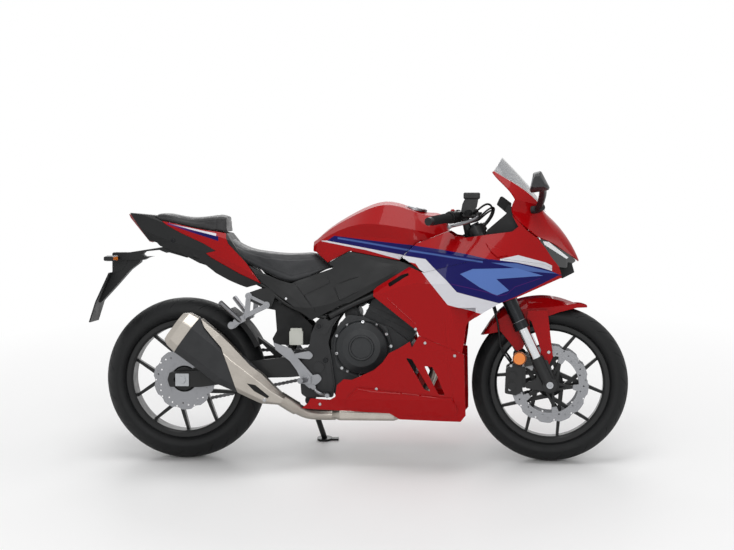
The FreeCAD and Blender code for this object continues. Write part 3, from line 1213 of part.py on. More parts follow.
SCREEN_EDGE = [(1195, 92, 1114), (1240, 104, 1086), (1317, 112, 1037), (1371, 104, 983)]
SCREEN_MIDDLE = [(1224, 0, 1164), (1275, 0, 1112), (1336, 0, 1042), (1391, 0, 956)]
WING_LOW = [(1191, 96, 1110), (1218, 118, 1078), (1250, 136, 1046), (1278, 150, 1006)]
HOOD_MIDDLE = [(1391, 0, 952), (1449, 0, 894), (1488, 0, 838), (1519, 0, 774)]
HOOD_RIDGE = [(1371, 104, 983), (1392, 90, 930), (1440, 70, 860), (1482, 44, 806), (1519, 10, 770)]
INNER_PANEL_W = 146.0
BROW = [(1278, 150, 1006), (1269, 157, 954), (1330, 160, 892), (1372, 152, 862), (1398, 140, 852),
        (1458, 84, 814), (1517, 22, 777)]


def wall(face, inwards):
    """A curved face given a wall thickness along one direction."""
    return face.extrude(Vector(*inwards))


def ruled(a, b):
    return Part.makeRuledSurface(spline(a), spline(b))


def windscreen():
    """Clear bubble screen."""
    left = [(x, -w, z) for x, w, z in SCREEN_EDGE]
    wires = [Part.Wire(spline(line)) for line in (SCREEN_EDGE, SCREEN_MIDDLE, left)]
    face = Part.makeLoft(wires, False, False)
    return moved(wall(face, (-2.4, 0, -1.8)), x=2.6, z=2.4)


@cache
def nose_cowl():
    """Pointed nose: hood between two ridges, brows over the lamps and wings that hold the screen."""
    inwards = (-3.0, 3.0, -1.5)
    brow_wall = wall(ruled(HOOD_RIDGE, BROW), inwards)
    wing_wall = wall(ruled(SCREEN_EDGE, WING_LOW), inwards)
    left_ridge = [(x, -w, z) for x, w, z in HOOD_RIDGE]
    hood_lines = [Part.Wire(spline(line)) for line in (HOOD_RIDGE, HOOD_MIDDLE, left_ridge)]
    hood = wall(Part.makeLoft(hood_lines, False, False), (-3.0, 0, -1.5))
    return fused(brow_wall, wing_wall, mirrored(brow_wall), mirrored(wing_wall), hood)


@cache
def headlamps():
    """Twin slanted lamp units that fill the space between the brows and the fairing."""
    sections = [
        (1372, [(60, 858), (145, 858), (146, 838), (60, 838)]),
        (1404, [(48, 848), (130, 848), (132, 796), (48, 796)]),
        (1436, [(30, 829), (101, 829), (104, 750), (30, 750)]),
        (1469, [(14, 806), (69, 806), (72, 745), (14, 745)]),
        (1506, [(4, 776), (30, 776), (26, 768), (4, 766)]),
    ]
    wires = [closed_wire([at(x, w, z) for w, z in spots]) for x, spots in sections]
    return both(seated(loft(wires, True), nose_cowl(), z=-GAP))


def nose_lip():
    """Black chin under the lamps."""
    chin = slab([(1424, 742, 4), (1440, 772), (1492, 764), (1502, 728, 3), (1456, 704, 6), (1430, 716, 4)],
                -60, 60)
    return seated(chin, headlamps(), x=GAP, z=-2 * GAP)


def mirrors():
    """Mirror heads on short stalks from the nose."""
    head = loft([closed_wire([at(1334, 268, 1030), at(1344, 268, 1092), at(1372, 268, 1092),
                              at(1396, 268, 1040)], 8),
                 closed_wire([at(1330, 330, 1034), at(1344, 330, 1104), at(1372, 330, 1112),
                              at(1408, 330, 1044)], 8),
                 closed_wire([at(1336, 378, 1050), at(1348, 378, 1090), at(1368, 378, 1092),
                              at(1392, 378, 1054)], 8)])
    stalk = tube([(1362, 128, 968), (1374, 180, 996), (1382, 240, 1030), (1380, 292, 1050)], 13)
    foot = tube([(1340, 116, 966), (1362, 126, 968), (1376, 152, 978)], 15)
    nose = nose_cowl()
    return both(largest(fused(head, stalk, foot).cut(nose).cut(moved(nose, w=GAP, z=GAP))))


def dashboard():
    """Instrument housing behind the screen, with black inner panels from it down to the fairing."""
    housing = slab([(1205, 986, 6), (1222, 1020, 6), (1262, 990, 6), (1248, 950, 6)], -74, 74)
    shelf = slab([(1236, 962), (1250, 986), (1260, 982), (1247, 956)], 70, INNER_PANEL_W)
    cheek = slab([(1166, 872), (1262, 876), (1292, 898), (1284, 940), (1264, 958), (1264, 988, 4),
                  (1241, 950, 8), (1171, 890)], INNER_PANEL_W - 3, INNER_PANEL_W)
    half = fused(shelf, cheek)
    return fused(housing, half, mirrored(half))


FLAP_LINE = [(-366, 529), (-341, 607), (-288, 720)]
FLAP_THICK = 5.0
FLAP_HOLE_R, FLAP_HOLE_W = 3.0, 45.0


def flap_hole():
    """Middle of the flap's wall at its bolt holes, and the wall's rearward normal there, in side view."""
    (x0, z0), (x1, z1) = FLAP_LINE[:2]
    run = math.hypot(x1 - x0, z1 - z0)
    nx, nz = -(z1 - z0) / run, (x1 - x0) / run
    return ((x0 + x1) / 2 + nx * FLAP_THICK / 2, (z0 + z1) / 2 + nz * FLAP_THICK / 2), (nx, nz)


def plate_bracket():
    """Arm under the tail, lamp box and the flap that carries the number plate, with its two bolt holes."""
    arm = slab([(10, 778, 4), (10, 800), (-66, 825), (-111, 817, 6), (-252, 795, 4), (-252, 770, 4),
                (-165, 770, 10), (-149, 779, 6), (-66, 800, 10)], -30, 30)
    opening = slab([(-174, 792, 4), (-161, 803, 4), (-103, 809, 4), (-68, 795, 4), (-82, 785, 4),
                    (-161, 783, 4)], -40, 40)
    lamp_box = slab([(-289, 799, 6), (-227, 799, 6), (-230, 762, 6), (-250, 731, 6), (-289, 716, 6)], -26,
                    26)
    web = slab([(-250, 790, 4), (-165, 772, 10), (-219, 731, 20), (-275, 668, 20), (-338, 600, 4),
                (-345, 610, 3), (-290, 724, 10)], -24, 24)
    flap = slab(strip(FLAP_LINE, FLAP_THICK), -84, 84)
    holes = [rod(at(x - 20 * nx, side * FLAP_HOLE_W, z - 20 * nz),
                 at(x + 20 * nx, side * FLAP_HOLE_W, z + 20 * nz), FLAP_HOLE_R) for (x, z),
             (nx, nz) in [flap_hole()] for side in (1, -1)]
    return seated(fused(arm.cut(opening), lamp_box, web, flap).cut(Part.makeCompound(holes)), tail_core(),
                  z=-GAP)


def rear_indicators():
    stalk = rod(at(-264, 27.4, 778), at(-276, 96, 778), 6)
    lamp = loft([
        closed_wire([at(-300, 92, 767), at(-252, 92, 767), at(-252, 92, 789), at(-300, 92, 789)], 5),
        closed_wire([at(-298, 148, 770), at(-262, 148, 770), at(-262, 148, 786), at(-298, 148, 786)], 5),
    ])
    return both(fused(stalk, lamp))


# Steps, pedals and side stand

def rider_steps():
    """Polished brackets with heel guards and folding pegs."""
    guard = slab([(356, 460, 3), (425, 437, 5), (442, 410, 5), (508, 336, 3), (530, 340, 8),
                  (545, 323, 12), (530, 306, 8), (497, 284, 6), (470, 306, 8), (446, 354, 8),
                  (421, 388, 10), (366, 432, 5)], 142, 150)
    arm = slab([(440, 402, 5), (440, 418, 5), (494, 428, 12), (512, 412, 14), (498, 396, 12)], 140, 150)
    posts = [barrel(497, 412, PLATE_OUT + GAP, 141, 9), barrel(528, 322, PLATE_OUT + 5 + GAP, 143, 9)]
    peg = rod(at(484, 149, 320), at(470, 246, 322), 11)
    clevis = slab([(466, 304, 6), (502, 304, 6), (502, 334, 6), (466, 334, 6)], 149, 166)
    return both(fused(guard, arm, posts, peg, clevis))


def foot_controls():
    """Rear brake pedal on the right and gear pedal on the left."""
    pivot = barrel(512, 291, 150 + GAP, 167, 9)
    pedal = fused(pivot, tube([(512, 158, 292), (524, 160, 272), (546, 166, 264), (568, 186, 264)], 6.5))
    pad = rod(at(567, 178, 264), at(570, 224, 264), 8.5)
    return both(fused(pedal, pad))


def pillion_steps():
    """Open triangular hangers with folded pegs."""
    w0, w1 = STEP_PAD_W + 1, STEP_PAD_W + 11
    upper = slab([(250, 646, 8), (268, 640, 10), (262, 560, 6), (222, 528, 6), (242, 560, 6)], w0, w1)
    lower = slab([(332, 612, 10), (338, 594, 10), (250, 552, 6), (206, 512, 8), (186, 514, 12),
                  (190, 532, 8), (240, 566, 6)], w0, w1)
    brace = slab([(262, 642, 5), (332, 608, 5), (328, 598, 5), (258, 630, 5)], w0, w1 - 2)
    pad = [barrel(259, 636, STEP_PAD_W, w1 + 2, 13), barrel(328, 602, STEP_PAD_W, w1 + 2, 13),
           barrel(193, 523, w0, w1 + 6, 14)]
    peg = rod(at(230, 132, 538), at(160, 196, 614), 10)
    clevis = slab([(206, 522, 6), (248, 540, 6), (240, 562, 6), (200, 544, 6)], 118, 142)
    return both(fused(upper, lower, brace, pad, peg, clevis))


def stand_axis():
    """Hinge axis of the side stand: square to both the standing and the folded leg."""
    down = at(*STAND_FOOT) - at(*STAND_PIVOT)
    folded = at(*STAND_FOLDED_TIP) - at(*STAND_PIVOT)
    return down.cross(folded).normalize()


def ground_frame(x, w):
    """Ground height under a point of the upright bike once it leans, and the ground's normal there."""
    lean = math.radians(LEAN)
    return -w * math.tan(lean) - tyre_lift() / math.cos(lean), Vector(0, -math.sin(lean), math.cos(lean))


def tyre_lift():
    """How far the leaned bike is raised so that its rounder rear tyre stands on the ground."""
    crown = crown_radius(REAR_TYRE_R, REAR_TYRE_HALF)
    return crown * (1 - math.cos(math.radians(LEAN)))


def crown_radius(outer_r, half):
    """Radius of the tread arc through the shoulders and the crown."""
    rise = 0.62 * half
    return (half * half + rise * rise) / (2 * rise)


def side_stand():
    """Tubular leg, its eye on the hinge and the flat foot that lies on the ground."""
    axis = stand_axis()
    pivot, tip = at(*STAND_PIVOT), at(*STAND_FOOT)
    height, up = ground_frame(STAND_FOOT[0], STAND_FOOT[1])
    foot_centre = Vector(tip.x, tip.y, height)
    leg = rod(pivot, foot_centre + up * 5, 11)
    eye = Part.makeCylinder(20, 16, pivot - axis * 8, axis)
    foot = Part.makeCylinder(30, 9, foot_centre, up)
    toe = Part.makeBox(70, 26, 8, Vector(-14, -13, 0))
    toe.Placement = Placement(foot_centre, Rotation(Vector(0, 0, 1), up))
    below = Part.makeCylinder(200, 100, foot_centre - up * 100, up)
    bore = Part.makeCylinder(8 + GAP, 60, pivot - axis * 30, axis)
    return fused(leg, eye, foot, toe).cut(below).cut(bore)


def stand_bracket():
    """Forked bracket under the left pivot plate that holds the stand's hinge pin."""
    axis = stand_axis()
    pivot = at(*STAND_PIVOT)
    pin = Part.makeCylinder(8, 40, pivot - axis * 20, axis)
    ear = Part.makeCylinder(22, 7, pivot - axis * 20, axis)
    head = Part.makeCylinder(14, 6, pivot + axis * 14, axis)
    web = rod(pivot - axis * 21, at(513, -108, 256), 8)
    root = barrel(513, 259, -103, -PLATE_IN - 6, 11)
    return fused(pin, ear, head, web, root)


# Assembly

def nodes():
    """Every named piece, drawn upright."""
    middle, lower = middle_fairing(), lower_fairing()
    upper, plate = upper_fairing(), pivot_plate()
    return {
        "front_wheel": front_wheel(),
        "front_tyre": tyre(FRONT_AXLE, FRONT_TYRE_R, FRONT_TYRE_HALF, FRONT_RIM_HALF),
        "front_discs": front_discs(),
        "rear_wheel": rear_wheel(),
        "rear_tyre": tyre(REAR_AXLE, REAR_TYRE_R, REAR_TYRE_HALF, REAR_RIM_HALF),
        "rear_disc": rear_disc(),
        "rear_sprocket": rear_sprocket(),
        "chain": chain(),
        "fork_uppers": fork_uppers(),
        "fork_sliders": fork_sliders(),
        "fork_feet": fork_feet(),
        "front_axle": front_axle(),
        "yokes": yokes(),
        "handlebars": handlebars(),
        "grips": grips(),
        "levers": levers(),
        "front_mudguard": front_mudguard(),
        "front_calipers": front_calipers(),
        "front_reflectors": front_reflectors(),
        "frame": frame(),
        "pivot_plates": Part.makeCompound([plate, fused(mirrored(plate), stand_bracket())]),
        "engine_block": engine_block(),
        "engine_covers": Part.makeCompound([clutch_cover(), generator_cover()]),
        "radiator": radiator(),
        "exhaust_pipes": exhaust_pipes(),
        "muffler": muffler(),
        "muffler_cap": muffler_cap(),
        "muffler_shield": muffler_shield(),
        "swingarm": swingarm(),
        "rear_axle": rear_axle(),
        "rear_caliper": rear_caliper(),
        "rear_hugger": rear_hugger(),
        "rear_shock": rear_shock(),
        "inner_tray": inner_tray(),
        "brake_reservoir": brake_reservoir(),
        "fuel_tank": fuel_tank(),
        "rider_seat": rider_seat(),
        "pillion_seat": pillion_seat(),
        "tail_cowls": tail_cowls(),
        "tail_core": tail_core(),
        "tail_lamp": tail_lamp(),
        "side_panels": both(side_panel()),
        "upper_fairings": both(upper),
        "middle_fairings": both(middle),
        "lower_fairings": Part.makeCompound([lower, left_of_stand(lower)]),
        "windscreen": windscreen(),
        "nose_cowl": nose_cowl(),
        "headlamps": headlamps(),
        "nose_lip": nose_lip(),
        "mirrors": mirrors(),
        "dashboard": dashboard(),
        "plate_bracket": plate_bracket(),
        "rear_indicators": rear_indicators(),
        "rider_steps": rider_steps(),
        "foot_controls": foot_controls(),
        "pillion_steps": pillion_steps(),
        "side_stand": side_stand(),
    }


def parked():
    """Placement that leans the upright bike on its stand and brings the origin under its middle."""
    lean = Placement(Vector(0, 0, 0), Rotation(Vector(1, 0, 0), -LEAN))
    return Placement(Vector(-ORIGIN_X, -ORIGIN_Y, tyre_lift()), Rotation()).multiply(lean)


def main():
    os.makedirs("parts", exist_ok=True)
    place = parked()
    for name, shape in nodes().items():
        shape = shape.copy()
        shape.transformShape(place.toMatrix(), True)
        shape.exportStep("parts/" + name + ".step")


if __name__ == "__main__":
    main()
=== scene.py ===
import json
import math
from functools import cache

import bmesh
import bpy
from mathutils import Matrix, Vector
from mathutils.bvhtree import BVHTree


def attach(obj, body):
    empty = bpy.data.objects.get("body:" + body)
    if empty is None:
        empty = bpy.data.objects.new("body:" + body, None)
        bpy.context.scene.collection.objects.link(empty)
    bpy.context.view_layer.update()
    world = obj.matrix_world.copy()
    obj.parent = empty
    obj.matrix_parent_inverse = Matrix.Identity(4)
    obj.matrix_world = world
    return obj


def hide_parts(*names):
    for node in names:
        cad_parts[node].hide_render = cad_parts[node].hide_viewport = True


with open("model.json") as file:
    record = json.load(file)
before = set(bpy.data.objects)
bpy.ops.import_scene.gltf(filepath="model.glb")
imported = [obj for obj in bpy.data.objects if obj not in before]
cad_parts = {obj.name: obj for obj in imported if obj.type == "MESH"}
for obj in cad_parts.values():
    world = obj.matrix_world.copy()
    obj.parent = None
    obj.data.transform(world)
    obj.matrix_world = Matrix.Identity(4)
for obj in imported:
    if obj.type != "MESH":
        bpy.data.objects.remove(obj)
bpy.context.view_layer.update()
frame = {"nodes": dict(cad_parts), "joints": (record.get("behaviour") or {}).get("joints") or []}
nodes = frame["nodes"]


# The motorcycle stands on its side stand and leans to its left, so its own axes come from its wheel joints.
# A place on it is (x, w, z) in millimetres on the upright bike: x ahead of the rear axle, w out to the right
# of the middle plane, and z up from the ground.

joints = {joint["name"]: joint for joint in frame["joints"]}
REAR_HUB = Vector(joints["rear_wheel_spin"]["pos_m"])
LEFT = Vector(joints["rear_wheel_spin"]["axis"]).normalized()
AHEAD = Vector((1, 0, 0))
UP = AHEAD.cross(LEFT)
REAR_RADIUS = 312
GROUND = REAR_HUB - UP * REAR_RADIUS / 1000


def at(x, w, z):
    """The row-frame point, in metres, of a place on the bike."""
    return GROUND + (AHEAD * x - LEFT * w + UP * z) / 1000


# Camera: square to the leaning bike's middle plane, as in the photograph, at the distance that its
# perspective gives, and turned to the middle of the photograph's frame.

camera_data = bpy.data.cameras.new("camera")
camera_data.lens = 103.0
camera_data.dof.use_dof = False
camera = bpy.data.objects.new("camera", camera_data)
bpy.context.scene.collection.objects.link(camera)
EYE, PICTURE_MIDDLE = (1333, 8100, 1022), (704, 0, 713)
camera.location = at(*EYE)
aim = at(*PICTURE_MIDDLE) - camera.location
camera.rotation_euler = aim.to_track_quat("-Z", "Y").to_euler()
roll_up = camera.rotation_euler.to_matrix() @ Vector((0, 1, 0))
sideways = camera.rotation_euler.to_matrix() @ Vector((1, 0, 0))
lean_seen = math.atan2(UP.dot(sideways), UP.dot(roll_up))
camera.rotation_euler.rotate_axis("Z", -lean_seen)
bpy.context.scene.camera = camera


# Studio: a white room with soft lights above and on both sides. The camera, gloss and glass see the room
# at full white, while it lights the bike more softly. The white floor keeps the bike's shadow and fades
# into the room further off, so that no horizon shows.

class Value:
    """Something that changes over a surface. Sums and products of numbers add the shader's Math nodes."""

    def __init__(self, shader, socket):
        self.shader, self.socket = shader, socket

    def maths(self, operation, *values):
        return self.shader.node("Math", {"operation": operation}, dict(enumerate(values)))

    def __add__(self, other):
        return self.maths("ADD", self, other)

    def __sub__(self, other):
        return self.maths("SUBTRACT", self, other)

    def __rsub__(self, other):
        return self.maths("SUBTRACT", other, self)

    def __mul__(self, other):
        return self.maths("MULTIPLY", self, other)

    def __abs__(self):
        return self.maths("ABSOLUTE", self)

    __radd__ = __add__
    __rmul__ = __mul__

    def most(self, other):
        return self.maths("MAXIMUM", self, other)

    def fraction(self):
        return self.maths("FRACT", self)

    def ramp(self, low, high):
        """0 at low, 1 at high, and level beyond them."""
        return self.shader.node("MapRange", {}, {"Value": self, "From Min": low, "From Max": high})

    def over(self, level, soft=0.4):
        """1 where this is more than level, with an edge soft wide."""
        return (self - level).ramp(-soft, soft)


class Shader:
    """The nodes of a material or of the room's light."""

    def __init__(self, tree):
        self.tree = tree

    def node(self, kind, settings, sockets, out=0):
        """A node of this kind with its settings, the values or links of its sockets, and one output."""
        node = self.tree.nodes.new("ShaderNode" + kind)
        for name, setting in settings.items():
            setattr(node, name, setting)
        for name, value in sockets.items():
            self.feed(value, node.inputs[name])
        return Value(self, node.outputs[out])

    def feed(self, value, socket):
        if isinstance(value, Value):
            self.tree.links.new(value.socket, socket)
        else:
            socket.default_value = value

    def seen_directly(self):
        """1 for what the camera, a gloss or a glass sees, 0 for light that falls on a surface."""
        rays = [self.node("LightPath", {}, {}, kind) for kind in (
            "Is Camera Ray", "Is Glossy Ray", "Is Transmission Ray")]
        return rays[0].most(rays[1]).most(rays[2])


def colour(code):
    """A linear colour from a web colour code such as 0xB00A10."""
    channels = [(code >> shift & 255) / 255 for shift in (16, 8, 0)]
    return tuple(((c + 0.055) / 1.055) ** 2.4 if c > 0.04 else c / 12.92 for c in channels) + (1.0,)


class Finish(Shader):
    """A material being made up. Its sizes are millimetres on the bike."""

    def __init__(self, name, code, roughness, metallic=0.0, coat=0.0, specular=0.3):
        self.material = bpy.data.materials.new(name)
        self.material.use_nodes = True
        super().__init__(self.material.node_tree)
        self.principled = self.tree.nodes["Principled BSDF"]
        self.material.diffuse_color = colour(code)
        for channel, value in {"Base Color": colour(code), "Roughness": roughness, "Metallic": metallic,
                               "Coat Weight": coat, "Coat Roughness": 0.03,
                               "Specular IOR Level": specular}.items():
            self.set(channel, value)
        self.spot = self.node("TexCoord", {}, {}, "Object")

    def set(self, channel, value):
        self.feed(value, self.principled.inputs[channel])

    def along(self, direction, start=GROUND):
        """Distance from start along a direction."""
        away = self.node("VectorMath", {"operation": "SUBTRACT"}, {0: self.spot, 1: start})
        return self.node("VectorMath", {"operation": "DOT_PRODUCT"}, {0: away, 1: direction * 1000}, "Value")

    def side_view(self):
        return self.along(AHEAD), self.along(UP)

    def noise(self, size, detail=3.0, stretch=(1, 1, 1)):
        """Cloudy noise about 0.5 with grains about size across."""
        spot = self.node("Mapping", {}, {"Vector": self.spot, "Scale": stretch})
        return self.node("TexNoise", {}, {"Vector": spot, "Scale": 1000 / size, "Detail": detail})

    def cells(self, size):
        return self.node("TexVoronoi", {}, {"Vector": self.spot, "Scale": 1000 / size}, "Distance")

    def mix(self, share, first, second):
        """The first colour where share is 0, the second where it is 1."""
        return self.node("Mix", {"data_type": "RGBA"}, {"Factor": share, 6: first, 7: second}, 2)

    def vary(self, channel, low, high, noise):
        """Lets a channel wander between two values with a noise."""
        self.set(channel, noise.ramp(0.3, 0.7) * (high - low) + low)

    def bump(self, height, depth, under=None):
        """Bumps by a height of 0 to 1, depth deep, over an earlier bump."""
        sockets = {"Height": height, "Distance": depth / 1000}
        if under is not None:
            sockets["Normal"] = under
        normal = self.node("Bump", {}, sockets, "Normal")
        self.set("Normal", normal)
        return normal


ROOM_LIGHT = 0.5

bpy.context.scene.view_settings.view_transform = "Standard"
world = bpy.data.worlds.new("studio")
world.use_nodes = True
bpy.context.scene.world = world
room = Shader(world.node_tree)
background = world.node_tree.nodes["Background"]
background.inputs["Color"].default_value = (1, 1, 1, 1)
room.feed(room.seen_directly() * (1 - ROOM_LIGHT) + ROOM_LIGHT, background.inputs["Strength"])

FLOOR_REACH, FLOOR_DROP, FADE_FROM, FADE_TO = 45, 0.0005, 1.15, 2.6
floor_mesh = bpy.data.meshes.new("floor")
floor_corners = [(x * FLOOR_REACH, y * FLOOR_REACH, 0) for x, y in ((-1, -1), (1, -1), (1, 1), (-1, 1))]
floor_mesh.from_pydata(floor_corners, [], [(0, 1, 2, 3)])
floor = bpy.data.objects.new("floor", floor_mesh)
bpy.context.scene.collection.objects.link(floor)
floor.location.z = -FLOOR_DROP
pale_floor = Finish("pale_floor", 0xF7F7F7, 0.6)
pale_floor.vary("Roughness", 0.55, 0.65, pale_floor.noise(400))
distance = pale_floor.node("VectorMath", {"operation": "LENGTH"}, {0: pale_floor.spot}, "Value")
white_glow = pale_floor.node("Emission", {}, {})
fade = pale_floor.node("MixShader", {}, {
    "Fac": distance.ramp(FADE_FROM, FADE_TO) * pale_floor.seen_directly(),
    1: Value(pale_floor, pale_floor.principled.outputs[0]), 2: white_glow})
pale_floor.feed(fade, pale_floor.tree.nodes["Material Output"].inputs["Surface"])
floor_mesh.materials.append(pale_floor.material)


def soft_light(name, place, target, width, height, power):
    """A rectangular lamp turned to a target."""
    data = bpy.data.lights.new(name, "AREA")
    data.shape = "RECTANGLE"
    data.size, data.size_y, data.energy = width, height, power
    light = bpy.data.objects.new(name, data)
    bpy.context.scene.collection.objects.link(light)
    light.location = place
    light.rotation_euler = (Vector(target) - Vector(place)).to_track_quat("-Z", "Y").to_euler()


soft_light("overhead", (0.2, -0.2, 4.4), (0, 0, 0), 4.0, 2.0, 75)
soft_light("camera_side", (0.6, -5.5, 3.0), (0, 0, 0.6), 4.0, 1.6, 75)
soft_light("far_side", (-0.6, 5.5, 3.0), (0, 0, 0.6), 4.0, 1.6, 75)


# Frame, swingarm, yokes and clip-on bars: steel and aluminium under a satin black coat. The pivot plates,
# calipers and fork feet are black castings with a rougher skin, the side stand and the shock black steel.

def wear(finish, *names):
    """Gives CAD nodes a finish."""
    for name in names:
        for slot in nodes[name].material_slots:
            slot.material = finish.material


def cast(name, code, roughness, grain=1.4):
    """A dark coat over a casting or a weld, with a grain in millimetres."""
    finish = Finish(name, code, roughness, coat=0.1)
    finish.vary("Roughness", roughness - 0.05, roughness + 0.1, finish.noise(30))
    faded = finish.noise(70).ramp(0.35, 0.65)
    finish.set("Base Color", finish.mix(faded, colour(code), colour(code + 0x050505)))
    finish.bump(finish.noise(grain, 4.0), 0.12)
    return finish


wear(cast("black_frame_coat", 0x0F1011, 0.38), "frame", "swingarm", "yokes", "handlebars")
wear(cast("black_plate_coat", 0x17181A, 0.42), "pivot_plates")
wear(cast("black_casting", 0x131415, 0.4), "fork_feet", "front_calipers", "rear_caliper")
wear(cast("black_steel", 0x0F1011, 0.35), "side_stand", "rear_shock")


# Engine: sand-cast crankcase, cylinders and covers in dark grey heat-proof paint. The radiator in front of
# it is an alloy core of fine fins between its end tanks, with painted shade in the gaps between the fins.

wear(cast("engine_casting", 0x1E2022, 0.5, 1.8), "engine_block")
wear(cast("engine_cover_coat", 0x222426, 0.4, 1.2), "engine_covers")
FIN_PITCH = 2.4
fins = Finish("radiator_alloy", 0x2B2C2E, 0.45, metallic=0.6)
shaded_fin_gaps = abs((fins.along(UP) * (1 / FIN_PITCH)).fraction() - 0.5).ramp(0.2, 0.4)
# The gaps between the fins are painted near black as shade, and sunk by the bump.
fins.set("Base Color", fins.mix(shaded_fin_gaps, colour(0x2B2C2E), colour(0x0A0A0B)))
fins.vary("Roughness", 0.4, 0.55, fins.noise(20))
fins.bump(1 - shaded_fin_gaps, 0.6)
wear(fins, "radiator")


# Wheels: ten-spoke castings in satin black. The tyres are modelled whole, with slanting water grooves cut
# into both halves of the tread, a rim protector ring and a moulding ring on each sidewall.

def piece(name, form, finish, body, sharp=30):
    """A new object from a bmesh or a mesh, riding on a body."""
    mesh = form
    if isinstance(form, bmesh.types.BMesh):
        bmesh.ops.recalc_face_normals(form, faces=form.faces)
        mesh = bpy.data.meshes.new(name)
        form.to_mesh(mesh)
        form.free()
    mesh.materials.clear()
    mesh.materials.append(finish.material)
    for polygon in mesh.polygons:
        polygon.use_smooth = True
    mesh.set_sharp_from_angle(angle=math.radians(sharp))
    made = bpy.data.objects.new(name, mesh)
    bpy.context.scene.collection.objects.link(made)
    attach(made, body)
    return made


def rubber(name, code, roughness):
    """Matt black rubber with a little dust."""
    finish = Finish(name, code, roughness, specular=0.25)
    dust = finish.noise(26)
    finish.vary("Roughness", roughness - 0.08, roughness + 0.08, dust)
    finish.set("Base Color", finish.mix(dust.ramp(0.35, 0.65), colour(code), colour(code + 0x060606)))
    finish.bump(finish.noise(1.1, 3.0), 0.06)
    return finish


def arc(start, middle, end, steps):
    """Points after start, up to end, on the circle through three (r, w) points."""
    (ax, ay), (bx, by), (cx, cy) = start, middle, end
    double = 2 * (ax * (by - cy) + bx * (cy - ay) + cx * (ay - by))
    a2, b2, c2 = ax * ax + ay * ay, bx * bx + by * by, cx * cx + cy * cy
    ox = (a2 * (by - cy) + b2 * (cy - ay) + c2 * (ay - by)) / double
    oy = (a2 * (cx - bx) + b2 * (ax - cx) + c2 * (bx - ax)) / double
    first, last = math.atan2(ay - oy, ax - ox), math.atan2(cy - oy, cx - ox)
    sweep = (last - first + math.pi) % (2 * math.pi) - math.pi
    size = math.hypot(ax - ox, ay - oy)
    angles = [first + sweep * i / steps for i in range(1, steps + 1)]
    return [(ox + size * math.cos(a), oy + size * math.sin(a)) for a in angles]


# Grooves of one pitch: share of the pitch, half width, and where they start and end across the half tread
LONG_GROOVE, SHORT_GROOVE = (3.0, 0.10, 0.76), (2.1, 0.52, 0.94)
GROOVES = {1: ((0.14, *LONG_GROOVE), (0.52, *SHORT_GROOVE)),
           -1: ((0.64, *LONG_GROOVE), (0.02, *SHORT_GROOVE))}
GROOVE_DEPTH, GROOVE_LEAN, GROOVE_END, GROOVE_WALL = 2.6, 0.8, 0.08, 0.4
TREAD_STEPS, WALL_STEPS, PITCH_STEPS, COLUMN_GAP = 36, 12, 18, 0.018
SEAT_RADIUS, FLANGE_RADIUS, LIP_RADIUS = 218.3, 229, 231.0
LIP_INSET, SEAT_INSET, BELLY_INSET = 4, 8, 4
SHOULDER_DROP, BELLY_SHARE = 0.62, 0.42
PROTECTOR_RISE, MOULDING_DIP = 1.2, 0.5


def tyre(name, node, body, hub, radius, half, rim_half, pitches):
    """A tyre ring on its rim, its mesh lines following the grooves."""
    shoulder = radius - SHOULDER_DROP * half
    lip = (LIP_RADIUS, rim_half - LIP_INSET)
    belly = (FLANGE_RADIUS + BELLY_SHARE * (shoulder - FLANGE_RADIUS), half - BELLY_INSET)
    wall = arc(lip, belly, (shoulder, half), WALL_STEPS)
    for row, rise in ((2, PROTECTOR_RISE), (WALL_STEPS - 3, -MOULDING_DIP)):
        wall[row] = (wall[row][0], wall[row][1] + rise)
    right = [(SEAT_RADIUS, rim_half - SEAT_INSET), lip] + wall
    tread = arc((shoulder, half), (radius, 0), (shoulder, -half), TREAD_STEPS)
    rows = right + tread + [(r, -w) for r, w in reversed(right[:-1])]
    pitch = 2 * math.pi * radius / pitches
    edges = sorted((c + k * h / pitch) % 1 for side in GROOVES.values() for c, h, _, _ in side
                   for k in (-1, GROOVE_WALL - 1, 1 - GROOVE_WALL, 1))
    columns = sorted(edges + [u for u in (i / PITCH_STEPS for i in range(PITCH_STEPS))
                              if all(abs((u - e + 0.5) % 1 - 0.5) > COLUMN_GAP for e in edges)])

    def cut(u, w):
        """Depth of the tread's grooves at a share u of the pitch, w across."""
        share, deep = abs(w) / half, 0.0
        for centre, h, start, end in GROOVES[1 if w > 0 else -1]:
            off = abs((u - centre + 0.5) % 1 - 0.5) * pitch / h
            taper = min(1, max(0, (share - start) / GROOVE_END), max(0, (end - share) / GROOVE_END))
            deep = max(deep, taper * min(1, max(0, (1 - off) / GROOVE_WALL)))
        return deep * GROOVE_DEPTH

    form = bmesh.new()
    grid = []
    for turn in range(pitches):
        for u in columns:
            ring = []
            for r, w in rows:
                share = min(1, abs(w) / half) if r >= shoulder - 0.01 else 1.0
                angle = 2 * math.pi * (turn + u + GROOVE_LEAN * share) / pitches
                reach = (r - cut(u, w) if r > shoulder + 0.01 else r) / 1000
                turned = AHEAD * (reach * math.cos(angle)) + UP * (reach * math.sin(angle))
                ring.append(form.verts.new(hub + turned - LEFT * (w / 1000)))
            grid.append(ring)
    for first, second in zip(grid, grid[1:] + grid[:1]):
        for i in range(len(rows)):
            j = (i + 1) % len(rows)
            form.faces.new((first[i], first[j], second[j], second[i]))
    made = piece(name, form, tyre_rubber, body, 35)
    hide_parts(node)


FRONT_HUB, FRONT_RADIUS = Vector(joints["front_wheel_spin"]["pos_m"]), 300
wear(cast("satin_black_wheel", 0x0D0E0F, 0.32), "front_wheel", "rear_wheel")
tyre_rubber = rubber("tyre_rubber", 0x121314, 0.6)
tyre("front_tyre_tread", "front_tyre", "front_wheel", FRONT_HUB, FRONT_RADIUS, 60, 44.5, 17)
tyre("rear_tyre_tread", "rear_tyre", "rear_wheel", REAR_HUB, REAR_RADIUS, 80, 57, 15)


